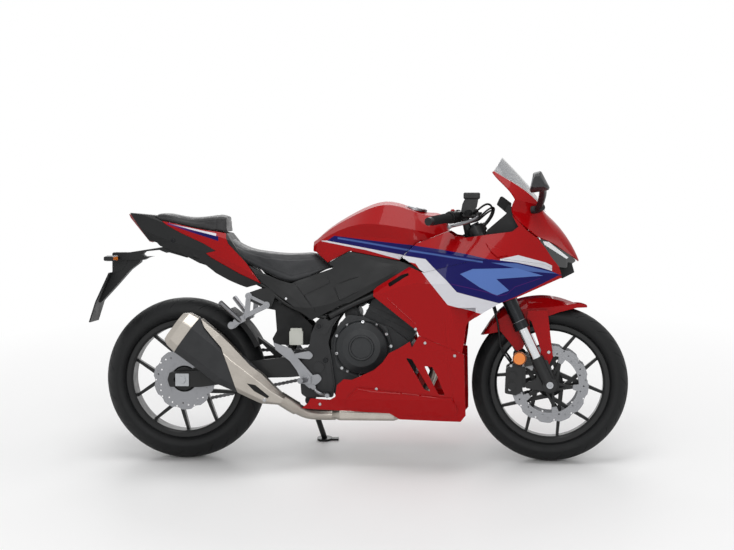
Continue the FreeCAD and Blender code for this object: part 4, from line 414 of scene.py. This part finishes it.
# Brake discs and final drive: petal discs of ground steel with circular grinding marks, a steel sprocket
# and an oiled chain. The axles beside them are zinc-plated steel.

def bright(name, code, roughness, streak=(1, 1, 1), metallic=1.0):
    """Bare or plated metal with fine brush marks."""
    finish = Finish(name, code, roughness, metallic, specular=0.5)
    brushed = finish.noise(2.5, 2.0, streak)
    finish.vary("Roughness", roughness - 0.06, roughness + 0.08, brushed)
    tarnish = finish.noise(55).ramp(0.3, 0.7)
    finish.set("Base Color", finish.mix(tarnish, colour(code), colour(code - 0x0A0A0A)))
    finish.bump(brushed, 0.02)
    return finish


MARKS_PER_MM = 1.4


def ground_steel(name, hub):
    """Steel with grinding marks around a hub."""
    finish = Finish(name, 0x8C8D90, 0.3, 1.0, specular=0.5)
    ahead, up = finish.along(AHEAD, hub), finish.along(UP, hub)
    squared = ahead * ahead + up * up
    reach = squared.maths("SQRT", squared)
    rings = finish.node("TexNoise", {"noise_dimensions": "1D"},
                        {"W": reach * MARKS_PER_MM, "Scale": 1.0, "Detail": 3.0})
    finish.vary("Roughness", 0.22, 0.38, rings)
    finish.set("Base Color", finish.mix(rings.ramp(0.3, 0.7), colour(0x7C7D80), colour(0x98999C)))
    finish.bump(rings, 0.03)
    return finish


wear(ground_steel("front_disc_steel", FRONT_HUB), "front_discs")
wear(ground_steel("rear_disc_steel", REAR_HUB), "rear_disc")
wear(bright("oiled_steel", 0x6E6E70, 0.35), "rear_sprocket", "chain")
wear(bright("zinc_plate", 0xA9ABAE, 0.34), "front_axle", "rear_axle")


# Fork: hard-chromed sliders in black anodised tubes, with a bright dust seal ring at each tube's mouth.

def ring_around(form, centre, axis, radius, thick, steps=48, round_steps=8):
    """Adds a round bead, thick across, around an axis."""
    turn = axis.to_track_quat("Z", "Y").to_matrix().to_4x4()
    turn.translation = centre
    rings = []
    for i in range(steps):
        a = 2 * math.pi * i / steps
        ring = []
        for j in range(round_steps):
            b = 2 * math.pi * j / round_steps
            r = radius + thick / 2 * math.cos(b)
            spot = Vector((r * math.cos(a), r * math.sin(a), thick / 2 * math.sin(b)))
            ring.append(form.verts.new(turn @ (spot / 1000)))
        rings.append(ring)
    for first, second in zip(rings, rings[1:] + rings[:1]):
        for j in range(round_steps):
            k = (j + 1) % round_steps
            form.faces.new((first[j], first[k], second[k], second[j]))


FORK_FOOT, FORK_TOP, TUBE_MOUTH = (1358, 100, 403), (1120, 100, 904), (1304.5, 100, 516.5)
FORK_AXIS = (at(*FORK_TOP) - at(*FORK_FOOT)).normalized()
SEAL_RING_RADIUS, SEAL_RING_THICK, SEAL_RING_SPOTS = 27.2, 2.6, (0.0, 30.0)
wear(bright("hard_chrome", 0xD8DADD, 0.12), "fork_sliders")
wear(bright("black_anodised_tube", 0x26282B, 0.28, metallic=0.7), "fork_uppers")
form = bmesh.new()
for side in (1, -1):
    x, w, z = TUBE_MOUTH
    mouth = at(x, side * w, z)
    for reach in SEAL_RING_SPOTS:
        ring_around(form, mouth + FORK_AXIS * reach / 1000, FORK_AXIS, SEAL_RING_RADIUS, SEAL_RING_THICK)
piece("fork_seal_rings", form, bright("seal_ring_steel", 0x9A9B9E, 0.3), "steering")


# Exhaust: header pipes, link pipe, silencer shield and end cap in warm brushed steel around a silencer body
# painted dark. A thin near-black sheet laid on the shield is painted shade for a recess in it, and the
# shield's bolt is with the fasteners.

@cache
def surface_of(names):
    """A search tree over CAD nodes."""
    verts, faces = [], []
    for name in names:
        mesh = nodes[name].data
        start = len(verts)
        verts += [v.co.copy() for v in mesh.vertices]
        faces += [[start + i for i in p.vertices] for p in mesh.polygons]
    return BVHTree.FromPolygons(verts, faces)


RAY_START = 0.6


def touch(point, direction, names):
    """Where a ray through point along direction first meets CAD nodes, and the surface's normal there."""
    tree = surface_of(names)
    hit, normal, _, _ = tree.ray_cast(point - direction * RAY_START, direction, 2 * RAY_START)
    if hit is None:
        hit, normal, _, _ = tree.find_nearest(point)
    return hit, normal if normal.dot(direction) < 0 else -normal


def laid_plate(name, corners, direction, names, lift, thick, finish, body, cuts=5):
    """A thin plate with these corners, laid along a direction onto CAD nodes."""
    form = bmesh.new()
    form.faces.new([form.verts.new(at(*corner)) for corner in corners])
    bmesh.ops.triangulate(form, faces=form.faces)
    bmesh.ops.subdivide_edges(form, edges=form.edges, cuts=cuts, use_grid_fill=True)
    for vertex in form.verts:
        hit, normal = touch(vertex.co, direction, names)
        vertex.co = hit + normal * lift / 1000
    bmesh.ops.recalc_face_normals(form, faces=form.faces)
    if form.faces[0].normal.dot(direction) > 0:
        bmesh.ops.reverse_faces(form, faces=form.faces)
    bmesh.ops.solidify(form, geom=form.faces, thickness=thick / 1000)
    piece(name, form, finish, body)


warm_steel = bright("brushed_exhaust_steel", 0xB4AEA6, 0.3, (1, 1, 12))
wear(warm_steel, "exhaust_pipes", "muffler_shield", "muffler_cap")
wear(cast("silencer_coat", 0x232426, 0.5), "muffler")
# A thin near-black sheet laid on the shield paints the shade of its recess.
painted_recess_shade = rubber("painted_recess_shade", 0x0A0A0B, 0.6)
RECESS_OUTLINE = [(268, 312), (300, 306), (352, 262), (345, 254), (296, 282)]
laid_plate("silencer_recess_shade", [(x, 262, z) for x, z in RECESS_OUTLINE], LEFT, ("muffler_shield", "muffler"),
           0.4, 0.8, painted_recess_shade, "chassis")


# Fasteners: zinc-plated socket-head bolts, each seated on the surface it holds. The ones on the fairing
# are small and bright, those on the engine covers larger, and the ones on the pivot plates and tail black.

SOCKET_SHARE, CHAMFER_SHARE, SUNK = 0.52, 0.86, 0.6


def socket_bolt(form, place, outward, radius, height, steps=24):
    """Adds a round chamfered head with a six-sided socket."""
    turn = outward.to_track_quat("Z", "Y").to_matrix().to_4x4()
    turn.translation = place
    hexagon = [SOCKET_SHARE * radius / max(math.cos(2 * math.pi * i / steps - math.pi / 3 * k)
                                           for k in range(6)) for i in range(steps)]
    around = [radius] * steps
    chamfered = [radius * CHAMFER_SHARE] * steps
    rings = []
    for radii, z in ((around, -SUNK), (around, height * 0.7), (chamfered, height), (hexagon, height),
                     (hexagon, height * 0.3)):
        spots = [Vector((r * math.cos(2 * math.pi * i / steps), r * math.sin(2 * math.pi * i / steps), z))
                 for i, r in enumerate(radii)]
        rings.append([form.verts.new(turn @ (spot / 1000)) for spot in spots])
    for first, second in zip(rings, rings[1:]):
        for i in range(steps):
            j = (i + 1) % steps
            form.faces.new((first[i], first[j], second[j], second[i]))
    form.faces.new(rings[0][::-1])
    form.faces.new(rings[-1])


OUTSIDE = 300


def side_bolts(name, spots, names, finish, body, radius, height, sides=(1, -1)):
    """Bolts at (x, z) on the right and left faces of CAD nodes."""
    form = bmesh.new()
    for side in sides:
        for x, z in spots:
            place, outward = touch(at(x, side * OUTSIDE, z), LEFT * side, names)
            socket_bolt(form, place, outward, radius, height)
    piece(name, form, finish, body, 25)


zinc = bright("zinc_bolt", 0xB6B7B9, 0.28)
black_zinc = bright("black_zinc_bolt", 0x2A2B2D, 0.4, metallic=0.8)
side_bolts("fairing_bolts", [(941, 467), (1052, 419), (756, 290), (539, 228), (902, 518)],
           ("middle_fairings", "lower_fairings"), zinc, "chassis", 5.5, 3.0)
side_bolts("side_panel_bolts", [(405, 627)], ("side_panels",), zinc, "chassis", 5.0, 3.0)
side_bolts("clutch_cover_bolts", [(639, 527), (700, 538), (751, 528), (787, 492), (806, 447), (600, 485),
                                  (602, 420), (618, 362), (640, 352), (688, 334)],
           ("engine_covers", "engine_block"), zinc, "chassis", 6.5, 5.0, (1,))
GENERATOR, BOLT_CIRCLE = (712, 430), 99
generator_bolts = [(GENERATOR[0] + BOLT_CIRCLE * math.cos(math.radians(a)),
                    GENERATOR[1] + BOLT_CIRCLE * math.sin(math.radians(a))) for a in range(15, 375, 40)]
side_bolts("generator_cover_bolts", generator_bolts, ("engine_covers", "engine_block"), zinc, "chassis",
           6.0, 5.0, (-1,))
side_bolts("pivot_plate_bolts", [(531, 522), (556, 392), (568, 262)], ("pivot_plates",), black_zinc,
           "chassis", 9.0, 5.0)
side_bolts("tail_grips_bolts", [(-42, 846)], ("tail_core",), black_zinc, "chassis", 9.0, 3.0)
side_bolts("caliper_bolts", [(1257, 281), (1262, 372)], ("front_calipers",), zinc, "steering", 6.0, 5.0)
side_bolts("mudguard_stay_bolts", [(1405, 424)], ("front_mudguard",), zinc, "steering", 6.5, 3.5)
side_bolts("silencer_bolt", [(334, 248)], ("muffler_shield", "muffler"), zinc, "chassis", 7.0, 4.0,
           (1,))


# Hoses and cables: a brake hose from the lower yoke down behind each fork leg to its caliper, the hose from
# the master cylinder, and the control cables. These last loop ahead of the upper yoke and end on it. All are
# thin black rubber.

HOSE_RADIUS, CABLE_RADIUS = 4.0, 3.6


def hose(name, places, radius, finish, body):
    """A smooth round line that starts and ends at the first and last place."""
    data = bpy.data.curves.new(name, "CURVE")
    data.dimensions = "3D"
    data.bevel_depth, data.bevel_resolution, data.use_fill_caps = radius / 1000, 3, True
    data.resolution_u = 8
    spline = data.splines.new("NURBS")
    spline.points.add(len(places) - 1)
    for point, place in zip(spline.points, places):
        point.co = (*at(*place), 1)
    spline.order_u, spline.use_endpoint_u = 3, True
    data.materials.append(finish.material)
    made = bpy.data.objects.new(name, data)
    bpy.context.scene.collection.objects.link(made)
    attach(made, body)


hose_rubber = rubber("hose_rubber", 0x0E0F10, 0.5)
for side, label in ((1, "right"), (-1, "left")):
    hose(f"brake_hose_{label}", [(1150, side * 66, 668), (1180, side * 84, 640), (1196, side * 96, 590),
                                 (1214, side * 98, 527), (1218, side * 94, 462), (1228, side * 88, 425),
                                 (1252, side * 80, 396), (1262, side * 74, 380)],
         HOSE_RADIUS, hose_rubber, "steering")
hose("master_cylinder_hose", [(1138, 132, 968), (1156, 108, 984), (1176, 72, 990), (1190, 30, 974),
                              (1184, -6, 944), (1150, -6, 900), (1124, -2, 880)],
     HOSE_RADIUS, hose_rubber, "steering")
hose("throttle_cables", [(1060, 178, 925), (1110, 140, 905), (1170, 80, 968), (1198, 40, 978),
                         (1192, 14, 950), (1160, 10, 905), (1128, 14, 880)],
     CABLE_RADIUS, hose_rubber, "steering")
hose("clutch_cable", [(1060, -178, 925), (1112, -140, 905), (1172, -84, 960), (1196, -46, 966),
                      (1188, -20, 940), (1158, -14, 900), (1128, -14, 880)],
     CABLE_RADIUS, hose_rubber, "steering")


# Seats: foam pads under a tight vinyl cover. Each starts as the CAD pad drawn in a little, is blown up
# against its cover with cloth pressure, and gets its sewn seams pressed in afterwards.

def apply_modifiers(made):
    """Bakes the modifiers into the piece's own mesh."""
    mesh = bpy.data.meshes.new_from_object(made.evaluated_get(bpy.context.evaluated_depsgraph_get()))
    made.modifiers.clear()
    made.data = mesh


def outward(mesh):
    """The mesh's vertices, each with its normal as it is before any of them moves."""
    return list(zip(mesh.vertices, [v.normal.copy() for v in mesh.vertices]))


def on_bike(point):
    """The place (x, w, z) on the bike of a row-frame point."""
    away = (point - GROUND) * 1000
    return away.dot(AHEAD), -away.dot(LEFT), away.dot(UP)


def level(x, line):
    """Height at x of a line through points."""
    for (x0, z0), (x1, z1) in zip(line, line[1:]):
        if x <= x1:
            return z0 + (z1 - z0) * min(1, max(0, (x - x0) / (x1 - x0)))
    return line[-1][1]


CLAMP_FADE, LEAST_GRIP, SEAM_WIDTH = 14, 0.02, 3.2
FOAM_PRESSURE, FOAM_STEPS, MOST_SWELL = 4, 12, 1.5


def padded_seat(name, node, finish, voxel, draw_in, edge, seams):
    """A blown up copy of a CAD pad, clamped under its edge line, with seams as (depth, distance)."""
    made = piece(name, nodes[node].data.copy(), finish, "chassis")
    remesh = made.modifiers.new("remesh", "REMESH")
    remesh.mode, remesh.voxel_size = "VOXEL", voxel
    smooth = made.modifiers.new("smooth", "SMOOTH")
    smooth.factor, smooth.iterations = 0.5, 4
    apply_modifiers(made)
    held = made.vertex_groups.new(name="held")
    for vertex, normal in outward(made.data):
        x, w, z = on_bike(vertex.co)
        grip = min(1, max(0, (level(x, edge) + CLAMP_FADE - z) / CLAMP_FADE))
        held.add([vertex.index], max(grip, LEAST_GRIP), "REPLACE")
        vertex.co -= normal * draw_in * (1 - grip)
    drawn = [v.co.copy() for v in made.data.vertices]
    cloth = made.modifiers.new("foam", "CLOTH")
    cloth.settings.use_pressure = True
    cloth.settings.uniform_pressure_force = FOAM_PRESSURE
    cloth.settings.effector_weights.gravity = 0
    cloth.settings.vertex_group_mass = "held"
    for step in range(1, FOAM_STEPS + 1):
        bpy.context.scene.frame_set(step)
    apply_modifiers(made)
    bpy.context.scene.frame_set(1)
    for vertex, first in zip(made.data.vertices, drawn):
        swell = vertex.co - first
        if swell.length > draw_in * MOST_SWELL:
            vertex.co = first + swell.normalized() * draw_in * MOST_SWELL
    smooth = made.modifiers.new("smooth", "SMOOTH")
    smooth.factor, smooth.iterations = 0.5, 3
    divide = made.modifiers.new("divide", "SUBSURF")
    divide.levels = divide.render_levels = 1
    apply_modifiers(made)
    for vertex, normal in outward(made.data):
        x, w, z = on_bike(vertex.co)
        pressed = sum(depth * math.exp(-(off(x, w, z) / SEAM_WIDTH) ** 2) for depth, off in seams)
        vertex.co -= normal * pressed / 1000
    for polygon in made.data.polygons:
        polygon.use_smooth = True
    made.vertex_groups.clear()
    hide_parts(node)


def vinyl(name, code):
    """Black seat vinyl with a fine leather grain and a soft sheen."""
    finish = Finish(name, code, 0.5)
    grain = finish.cells(2.1).ramp(0.0, 0.75)
    finish.vary("Roughness", 0.44, 0.58, finish.noise(22))
    finish.set("Base Color", finish.mix(grain, colour(code - 0x060606), colour(code)))
    finish.set("Sheen Weight", 0.3)
    finish.set("Sheen Roughness", 0.4)
    finish.bump(finish.noise(34, 3.0), 1.2, finish.bump(grain, 0.14))
    return finish


RIDER_EDGE = [(172, 838), (206, 806), (244, 778), (320, 744), (421, 706), (500, 724), (580, 750)]
RIDER_SEAM = [(172, 856), (206, 826), (244, 806), (320, 784), (421, 774), (500, 780), (580, 772)]
PILLION_EDGE = [(-112, 932), (-40, 920), (50, 902), (134, 893), (170, 888)]
PILLION_SEAM = [(-112, 942), (-40, 932), (50, 916), (134, 926), (170, 924)]
PILLION_CROSS_SEAM, EDGE_ROLL = 128, 5
padded_seat("rider_seat_pad", "rider_seat", vinyl("rider_seat_vinyl", 0x2E2F31), 0.006, 0.004,
            RIDER_EDGE, [(1.6, lambda x, w, z: z - level(x, RIDER_SEAM)),
                         (1.4, lambda x, w, z: z - level(x, RIDER_EDGE) - EDGE_ROLL)])
padded_seat("pillion_seat_pad", "pillion_seat", vinyl("pillion_seat_vinyl", 0x2A2A2B), 0.005, 0.003,
            PILLION_EDGE, [(1.5, lambda x, w, z: z - level(x, PILLION_SEAM)),
                           (2.2, lambda x, w, z: x - PILLION_CROSS_SEAM)])


# Bodywork: a pressed steel tank and moulded panels in gloss red under clear lacquer. The tank and the upper
# and middle fairings carry a dark blue field over a white band, the tail a short stripe. The blue field has
# painted highlights in lighter blue on its facets, along its upper edge and along a thin line, and a purple
# painted reflection along a pressed crease.

RED, DEEP_BLUE, HIGHLIGHT_BLUE, WHITE, PURPLE = 0xA00308, 0x060458, 0x5878BC, 0xD6D6DC, 0x4A0E64
BLUE_TOP = [(559, 848), (587, 867), (711, 852), (895, 832), (1000, 818), (1094, 802), (1176, 783),
            (1214, 779), (1283, 770), (1371, 750), (1409, 738), (1443, 721)]
BLUE_LOW = [(559, 848), (711, 821), (854, 795), (942, 782), (974, 749), (1022, 702), (1060, 659),
            (1220, 615), (1283, 641), (1440, 717)]
WHITE_LOW = [(535, 846), (711, 813), (841, 778), (904, 765), (928, 733), (1026, 611), (1151, 577),
             (1189, 592), (1229, 611)]
WEDGE_TOP = [(1220, 783), (1289, 797), (1390, 769), (1416, 756)]
# Painted highlights in lighter blue: a thin line, facets turned to the light with their pointed end, and a
# strip along the upper edge.
HIGHLIGHT_LINE = [(594, 859), (711, 841), (879, 813), (981, 799), (1057, 787), (1157, 772)]
LIT_FACET_TOP = [(1072, 727), (1120, 746), (1283, 749), (1383, 718)]
LIT_FACET_LOW = [(1072, 727), (1145, 677), (1207, 645), (1209, 708), (1383, 718)]
LIT_POINT_TOP, LIT_POINT_LOW = [(1207, 708), (1255, 664)], [(1207, 645), (1255, 664)]
BROW_HIGHLIGHT_TOP = [(1188, 770), (1283, 766), (1402, 735), (1437, 725)]
BROW_HIGHLIGHT_LOW = [(1188, 770), (1333, 735), (1437, 725)]
# A thin purple painted reflection along a pressed crease of the fairing.
CREASE_REFLECTION_LINE = [(1035, 690), (1095, 677), (1164, 661), (1214, 644), (1245, 649), (1277, 677), (1371, 708)]


def gloss_paint(name):
    """Red paint under clear lacquer."""
    finish = Finish(name, RED, 0.32, coat=0.25, specular=0.05)
    finish.vary("Roughness", 0.26, 0.36, finish.noise(60))
    finish.bump(finish.noise(1.6, 2.0), 0.006)
    return finish


def bent_line(x, points):
    """Height of a line through points at x, level beyond its ends."""
    height = points[0][1]
    for (x0, z0), (x1, z1) in zip(points, points[1:]):
        height = x.ramp(x0, x1) * (z1 - z0) + height
    return height


def between(z, x, top, low, start, end):
    """1 inside the field between two lines and two distances along the bike."""
    inside = z.over(bent_line(x, low)) * (1 - z.over(bent_line(x, top)))
    return inside * x.over(start) * (1 - x.over(end))


def body_livery():
    """Coloured fields of the tank and the fairing, with painted highlights and a painted reflection on the
    blue.
    """
    finish = gloss_paint("red_body_paint")
    x, z = finish.side_view()
    blue = between(z, x, BLUE_TOP, BLUE_LOW, 559, 1460)
    white = between(z, x, BLUE_LOW, WHITE_LOW, 536, 1229)
    wedge = between(z, x, WEDGE_TOP, BLUE_TOP, 1221, 1416)
    point = between(z, x, LIT_POINT_TOP, LIT_POINT_LOW, 1207, 1255)
    # The facets, their point, the upper edge strip and the thin sheen line are painted highlights in lighter
    # blue.
    lit_facet_highlight = between(z, x, LIT_FACET_TOP, LIT_FACET_LOW, 1072, 1383).most(point)
    brow_highlight = between(z, x, BROW_HIGHLIGHT_TOP, BROW_HIGHLIGHT_LOW, 1188, 1437)
    sheen = abs(z - bent_line(x, HIGHLIGHT_LINE)).ramp(5.0, 1.0) * x.over(600) * (1 - x.over(1157))
    # A thin purple painted reflection along the pressed crease.
    crease_reflection = abs(z - bent_line(x, CREASE_REFLECTION_LINE)).ramp(1.8, 0.8) * x.over(1035) * (1 - x.over(1371))
    field = finish.mix(lit_facet_highlight.most(brow_highlight * 0.75).most(sheen * 0.7), colour(DEEP_BLUE), colour(HIGHLIGHT_BLUE))
    field = finish.mix(crease_reflection * 0.8, field, colour(PURPLE))
    ground = finish.mix(white.most(wedge), colour(RED), colour(WHITE))
    finish.set("Base Color", finish.mix(blue, ground, field))
    return finish


def tail_livery():
    """Short stripe on the tail that fades in from behind."""
    finish = gloss_paint("red_tail_paint")
    x, z = finish.side_view()
    top, middle = [(-63, 914), (130, 875)], [(-63, 912), (132, 865)]
    low = [(-63, 910), (40, 877), (140, 846)]
    white, blue = between(z, x, top, middle, -63, 131), between(z, x, middle, low, -63, 140)
    stripe = finish.mix(x.ramp(-40, 80), colour(PURPLE), colour(DEEP_BLUE))
    pale = finish.mix(x.ramp(-60, 20), colour(PURPLE), colour(WHITE))
    finish.set("Base Color", finish.mix(white, finish.mix(blue, colour(RED), stripe), pale))
    return finish


plain_red = gloss_paint("plain_red_paint")
wear(body_livery(), "fuel_tank", "upper_fairings", "middle_fairings")
wear(plain_red, "lower_fairings", "front_mudguard", "nose_cowl")
wear(tail_livery(), "tail_cowls")


# Pressed lines of the bodywork: the step along the lower fairing, the fold ahead of it, and the raised
# edges on the black side panels. Each is a low rounded bead of the panel's own finish.

BEAD_PROFILE = [(-0.5, -0.4), (-0.25, 0.7), (0, 1), (0.25, 0.7), (0.5, -0.4)]
END_RISE, RISE_SPOTS = 0.1, 3


def bead(form, line, side, names, width, height, spacing=6.0):
    """Adds a low ridge along (x, z) points, laid on the right or left faces of CAD nodes."""
    spots = []
    for (x0, z0), (x1, z1) in zip(line, line[1:]):
        count = max(1, round(math.hypot(x1 - x0, z1 - z0) / spacing))
        spots += [(x0 + (x1 - x0) * i / count, z0 + (z1 - z0) * i / count) for i in range(count)]
    spots.append(line[-1])
    laid = [touch(at(x, side * OUTSIDE, z), LEFT * side, names) for x, z in spots]
    rings = []
    for i, (place, normal) in enumerate(laid):
        forward = laid[min(i + 1, len(laid) - 1)][0] - laid[max(i - 1, 0)][0]
        across = forward.cross(normal).normalized()
        rise = min(1.0, END_RISE + min(i, len(laid) - 1 - i) / RISE_SPOTS)
        rings.append([form.verts.new(place + (across * u * width + normal * (v * height * rise)) / 1000)
                      for u, v in BEAD_PROFILE])
    for first, second in zip(rings, rings[1:]):
        for i in range(len(BEAD_PROFILE)):
            j = (i + 1) % len(BEAD_PROFILE)
            form.faces.new((first[i], first[j], second[j], second[i]))
    form.faces.new(rings[0])
    form.faces.new(rings[-1][::-1])


PLASTIC_GRAIN = 0.9


def moulded(name, code, roughness):
    """Grained plastic in its own colour."""
    finish = Finish(name, code, roughness)
    finish.vary("Roughness", roughness - 0.06, roughness + 0.08, finish.noise(45))
    faded = finish.noise(120).ramp(0.35, 0.65)
    finish.set("Base Color", finish.mix(faded, colour(code), colour(code + 0x060606)))
    finish.bump(finish.noise(PLASTIC_GRAIN, 2.0), 0.05)
    return finish


side_plastic = moulded("black_side_plastic", 0x121314, 0.42)
wear(side_plastic, "side_panels", "tail_core")
CREASES = {
    "lower_fairing_creases": ("lower_fairings", plain_red, (
        ([(644, 250), (683, 287), (764, 277), (860, 273), (1000, 256)], 7, 1.8),
        ([(1021, 410), (1030, 380), (1040, 320), (1050, 250), (1058, 180)], 8, 1.6))),
    "middle_fairing_creases": ("middle_fairings", plain_red, (
        ([(797, 635), (850, 588), (905, 537)], 7, 1.8),
        ([(1018, 560), (1014, 530), (1018, 490), (1024, 455)], 8, 1.6))),
    "side_panel_creases": ("side_panels", side_plastic, (
        ([(438, 686), (473, 641), (514, 581)], 6, 1.6),
        ([(584, 679), (613, 622), (686, 660)], 6, 1.6),
        ([(606, 686), (650, 703), (690, 714)], 5, 1.4)))}
for name, (node, finish, lines) in CREASES.items():
    form = bmesh.new()
    for side in (1, -1):
        for line, width, height in lines:
            bead(form, line, side, (node,), width, height)
    piece(name, form, finish, "chassis")


# Inner guards, chin, number plate bracket and mirror housings: injection-moulded black plastic with a fine
# grain. The rear brake's fluid bottle is a pale see-through plastic, here plain.

wear(moulded("matt_black_plastic", 0x0D0E0F, 0.6), "rear_hugger", "inner_tray", "nose_lip", "dashboard")
wear(moulded("bracket_plastic", 0x101112, 0.5), "plate_bracket")
wear(moulded("mirror_plastic", 0x1B1C1E, 0.4), "mirrors")
wear(moulded("pale_bottle_plastic", 0xC9CAC2, 0.45), "brake_reservoir")


# Mirror glass: a silvered pane with clipped corners, glued to the rear face of each mirror housing. It
# stands a little proud of that face.

silvered = Finish("silvered_glass", 0xB9BEC2, 0.03, 1.0)
silvered.vary("Roughness", 0.02, 0.05, silvered.noise(60))
GLASS_OUTLINE = [(276, 1038), (330, 1042), (368, 1056), (370, 1084), (330, 1096), (276, 1084)]
for side, label in ((1, "right"), (-1, "left")):
    laid_plate(f"mirror_glass_{label}", [(1300, side * w, z) for w, z in GLASS_OUTLINE], AHEAD,
               ("mirrors",), 0.6, 1.0, silvered, "chassis")


# Lamps: dark smoked headlamp lenses with a white daytime strip along the upper edge, a red tail lens with
# small prisms, amber indicators, and round orange reflectors in black rims on the fork.

lamp_glass = Finish("headlamp_lens", 0x0B0C0E, 0.06, coat=1.0)
lamp_glass.vary("Roughness", 0.04, 0.1, lamp_glass.noise(50))
wear(lamp_glass, "headlamps")
strip_white = Finish("daytime_strip", 0xF4F6F8, 0.2, coat=0.6)
strip_white.vary("Roughness", 0.15, 0.3, strip_white.noise(20))
STRIP_OUTLINE = [(1381, 848), (1404, 845), (1478, 785), (1472, 779), (1388, 834)]
for side, label in ((1, "right"), (-1, "left")):
    laid_plate(f"daytime_strip_{label}", [(x, side * 200, z) for x, z in STRIP_OUTLINE], LEFT * side,
               ("headlamps",), 0.8, 1.0, strip_white, "chassis", 7)
tail_lens = Finish("tail_lens", 0x8A060C, 0.12, coat=1.0)
tail_lens.vary("Roughness", 0.08, 0.18, tail_lens.noise(30))
tail_lens.bump(tail_lens.cells(4.0), 0.6)
wear(tail_lens, "tail_lamp")
wear(moulded("indicator_plastic", 0x111214, 0.35), "rear_indicators")
amber = Finish("amber_lens", 0xD8720C, 0.15, coat=0.8)
amber.vary("Roughness", 0.1, 0.22, amber.noise(15))
amber.bump(amber.cells(3.0), 0.4)
AMBER_OUTLINE = [(97, 771), (144, 773), (144, 784), (97, 785)]
for side, label in ((1, "right"), (-1, "left")):
    for x, direction, end in ((-320, AHEAD, "rear"), (-240, -AHEAD, "front")):
        laid_plate(f"indicator_{end}_{label}", [(x, side * w, z) for w, z in AMBER_OUTLINE], direction,
                   ("rear_indicators",), 0.5, 1.0, amber, "chassis", 3)
ORANGE, BRACKET_BLACK = 0xF08212, 0x131415
reflector = Finish("orange_reflector", ORANGE, 0.2, coat=1.0)
reflector.vary("Roughness", 0.15, 0.28, reflector.noise(8))
reflector.bump(reflector.cells(2.4), 0.4)
LENS_SEAT, REFLECTOR_PLACE, RIM_RADIUS, RIM_THICK = 116.6, (1294, 124.0, 401), 23.6, 2.8
lens_part = abs(reflector.along(LEFT)).over(LENS_SEAT, 0.1)
reflector.set("Base Color", reflector.mix(lens_part, colour(BRACKET_BLACK), colour(ORANGE)))
reflector.set("Coat Weight", lens_part)
wear(reflector, "front_reflectors")
form = bmesh.new()
for side in (1, -1):
    x, w, z = REFLECTOR_PLACE
    ring_around(form, at(x, side * w, z), LEFT, RIM_RADIUS, RIM_THICK)
piece("reflector_rims", form, side_plastic, "steering")


# Windscreen: a thin bubble of grey smoked polycarbonate, fixed along its lower edge on the nose. The
# instrument housing behind it has a blank dark display.

screen = Finish("smoke_screen", 0x9A9C9F, 0.05, coat=0.5)
screen.vary("Roughness", 0.03, 0.08, screen.noise(80))
screen.set("Alpha", 0.45)
wear(screen, "windscreen")
DISPLAY_OUTLINE = [(-62, 992), (62, 992), (62, 1014), (-62, 1014)]
laid_plate("instrument_display", [(1180, w, z) for w, z in DISPLAY_OUTLINE], AHEAD, ("dashboard",),
           0.5, 1.0, lamp_glass, "chassis")


# Controls: rubber grips with moulded ribs on the bars, polished alloy levers, steps and pedals, and the red
# stop switch on top of the right switch housing.

grip_rubber = rubber("grip_rubber", 0x111213, 0.65)
polished = bright("polished_alloy", 0x8E8F92, 0.34)
wear(grip_rubber, "grips")
wear(polished, "levers", "rider_steps", "foot_controls", "pillion_steps")
BAR_ROOT, BAR_TIP, GRIP_R = Vector((1093, 100, 948)), Vector((962, 352, 925)), 16.5
RIBS, FIRST_RIB, RIB_SPAN, RIB_THICK = 22, 0.5, 0.43, 2.4
SWITCH_SHARE, SWITCH_LIFT, SWITCH_SIZE, SWITCH_EDGE = 0.385, 0.025, (0.016, 0.012, 0.010, 1), 0.003


def bar_point(share, side):
    """The point of a clip-on bar at a share of its length."""
    x, w, z = BAR_ROOT.lerp(BAR_TIP, share)
    return at(x, side * w, z)


form = bmesh.new()
for side in (1, -1):
    axis = (bar_point(1, side) - bar_point(0, side)).normalized()
    for i in range(RIBS):
        place = bar_point(FIRST_RIB + RIB_SPAN * i / (RIBS - 1), side)
        ring_around(form, place, axis, GRIP_R, RIB_THICK, 32, 6)
piece("grip_ribs", form, grip_rubber, "steering")
form = bmesh.new()
switch_place = Matrix.Translation(bar_point(SWITCH_SHARE, 1) + UP * SWITCH_LIFT)
bmesh.ops.create_cube(form, size=1.0, matrix=switch_place @ Matrix.Diagonal(SWITCH_SIZE))
bmesh.ops.bevel(form, geom=form.edges, offset=SWITCH_EDGE, segments=3, affect="EDGES")
piece("stop_switch", form, moulded("stop_switch_red", 0xA01210, 0.35), "steering")


# Fuel filler: a round cap of polished alloy, let into the top of the tank. A ring of seven bolts holds its
# collar.

CAP_X, CAP_STEPS, CAP_BOLTS, CAP_BOLT_CIRCLE, COLLAR_TOP = 890, 64, 7, 40, 5.0
CAP_PROFILE = [(20, 4.5), (22, 3.2), (34, 3.2), (36, COLLAR_TOP), (44, COLLAR_TOP), (47, 3.5), (47, -4)]
cap_place, cap_up = touch(at(CAP_X, 0, 1000), -UP, ("fuel_tank",))
turn = cap_up.to_track_quat("Z", "Y").to_matrix().to_4x4()
turn.translation = cap_place


def cap_spot(radius, share, height):
    """The point of the cap at a share of a turn around its middle."""
    a = 2 * math.pi * share
    return turn @ (Vector((radius * math.cos(a), radius * math.sin(a), height)) / 1000)


form = bmesh.new()
rings = [[form.verts.new(cap_spot(r, i / CAP_STEPS, z)) for i in range(CAP_STEPS)] for r, z in CAP_PROFILE]
form.faces.new(rings[0])
form.faces.new(rings[-1][::-1])
for first, second in zip(rings, rings[1:]):
    for i in range(CAP_STEPS):
        j = (i + 1) % CAP_STEPS
        form.faces.new((first[i], second[i], second[j], first[j]))
for i in range(CAP_BOLTS):
    socket_bolt(form, cap_spot(CAP_BOLT_CIRCLE, i / CAP_BOLTS, COLLAR_TOP), cap_up, 3.2, 1.6)
piece("fuel_filler_cap", form, polished, "chassis", 25)
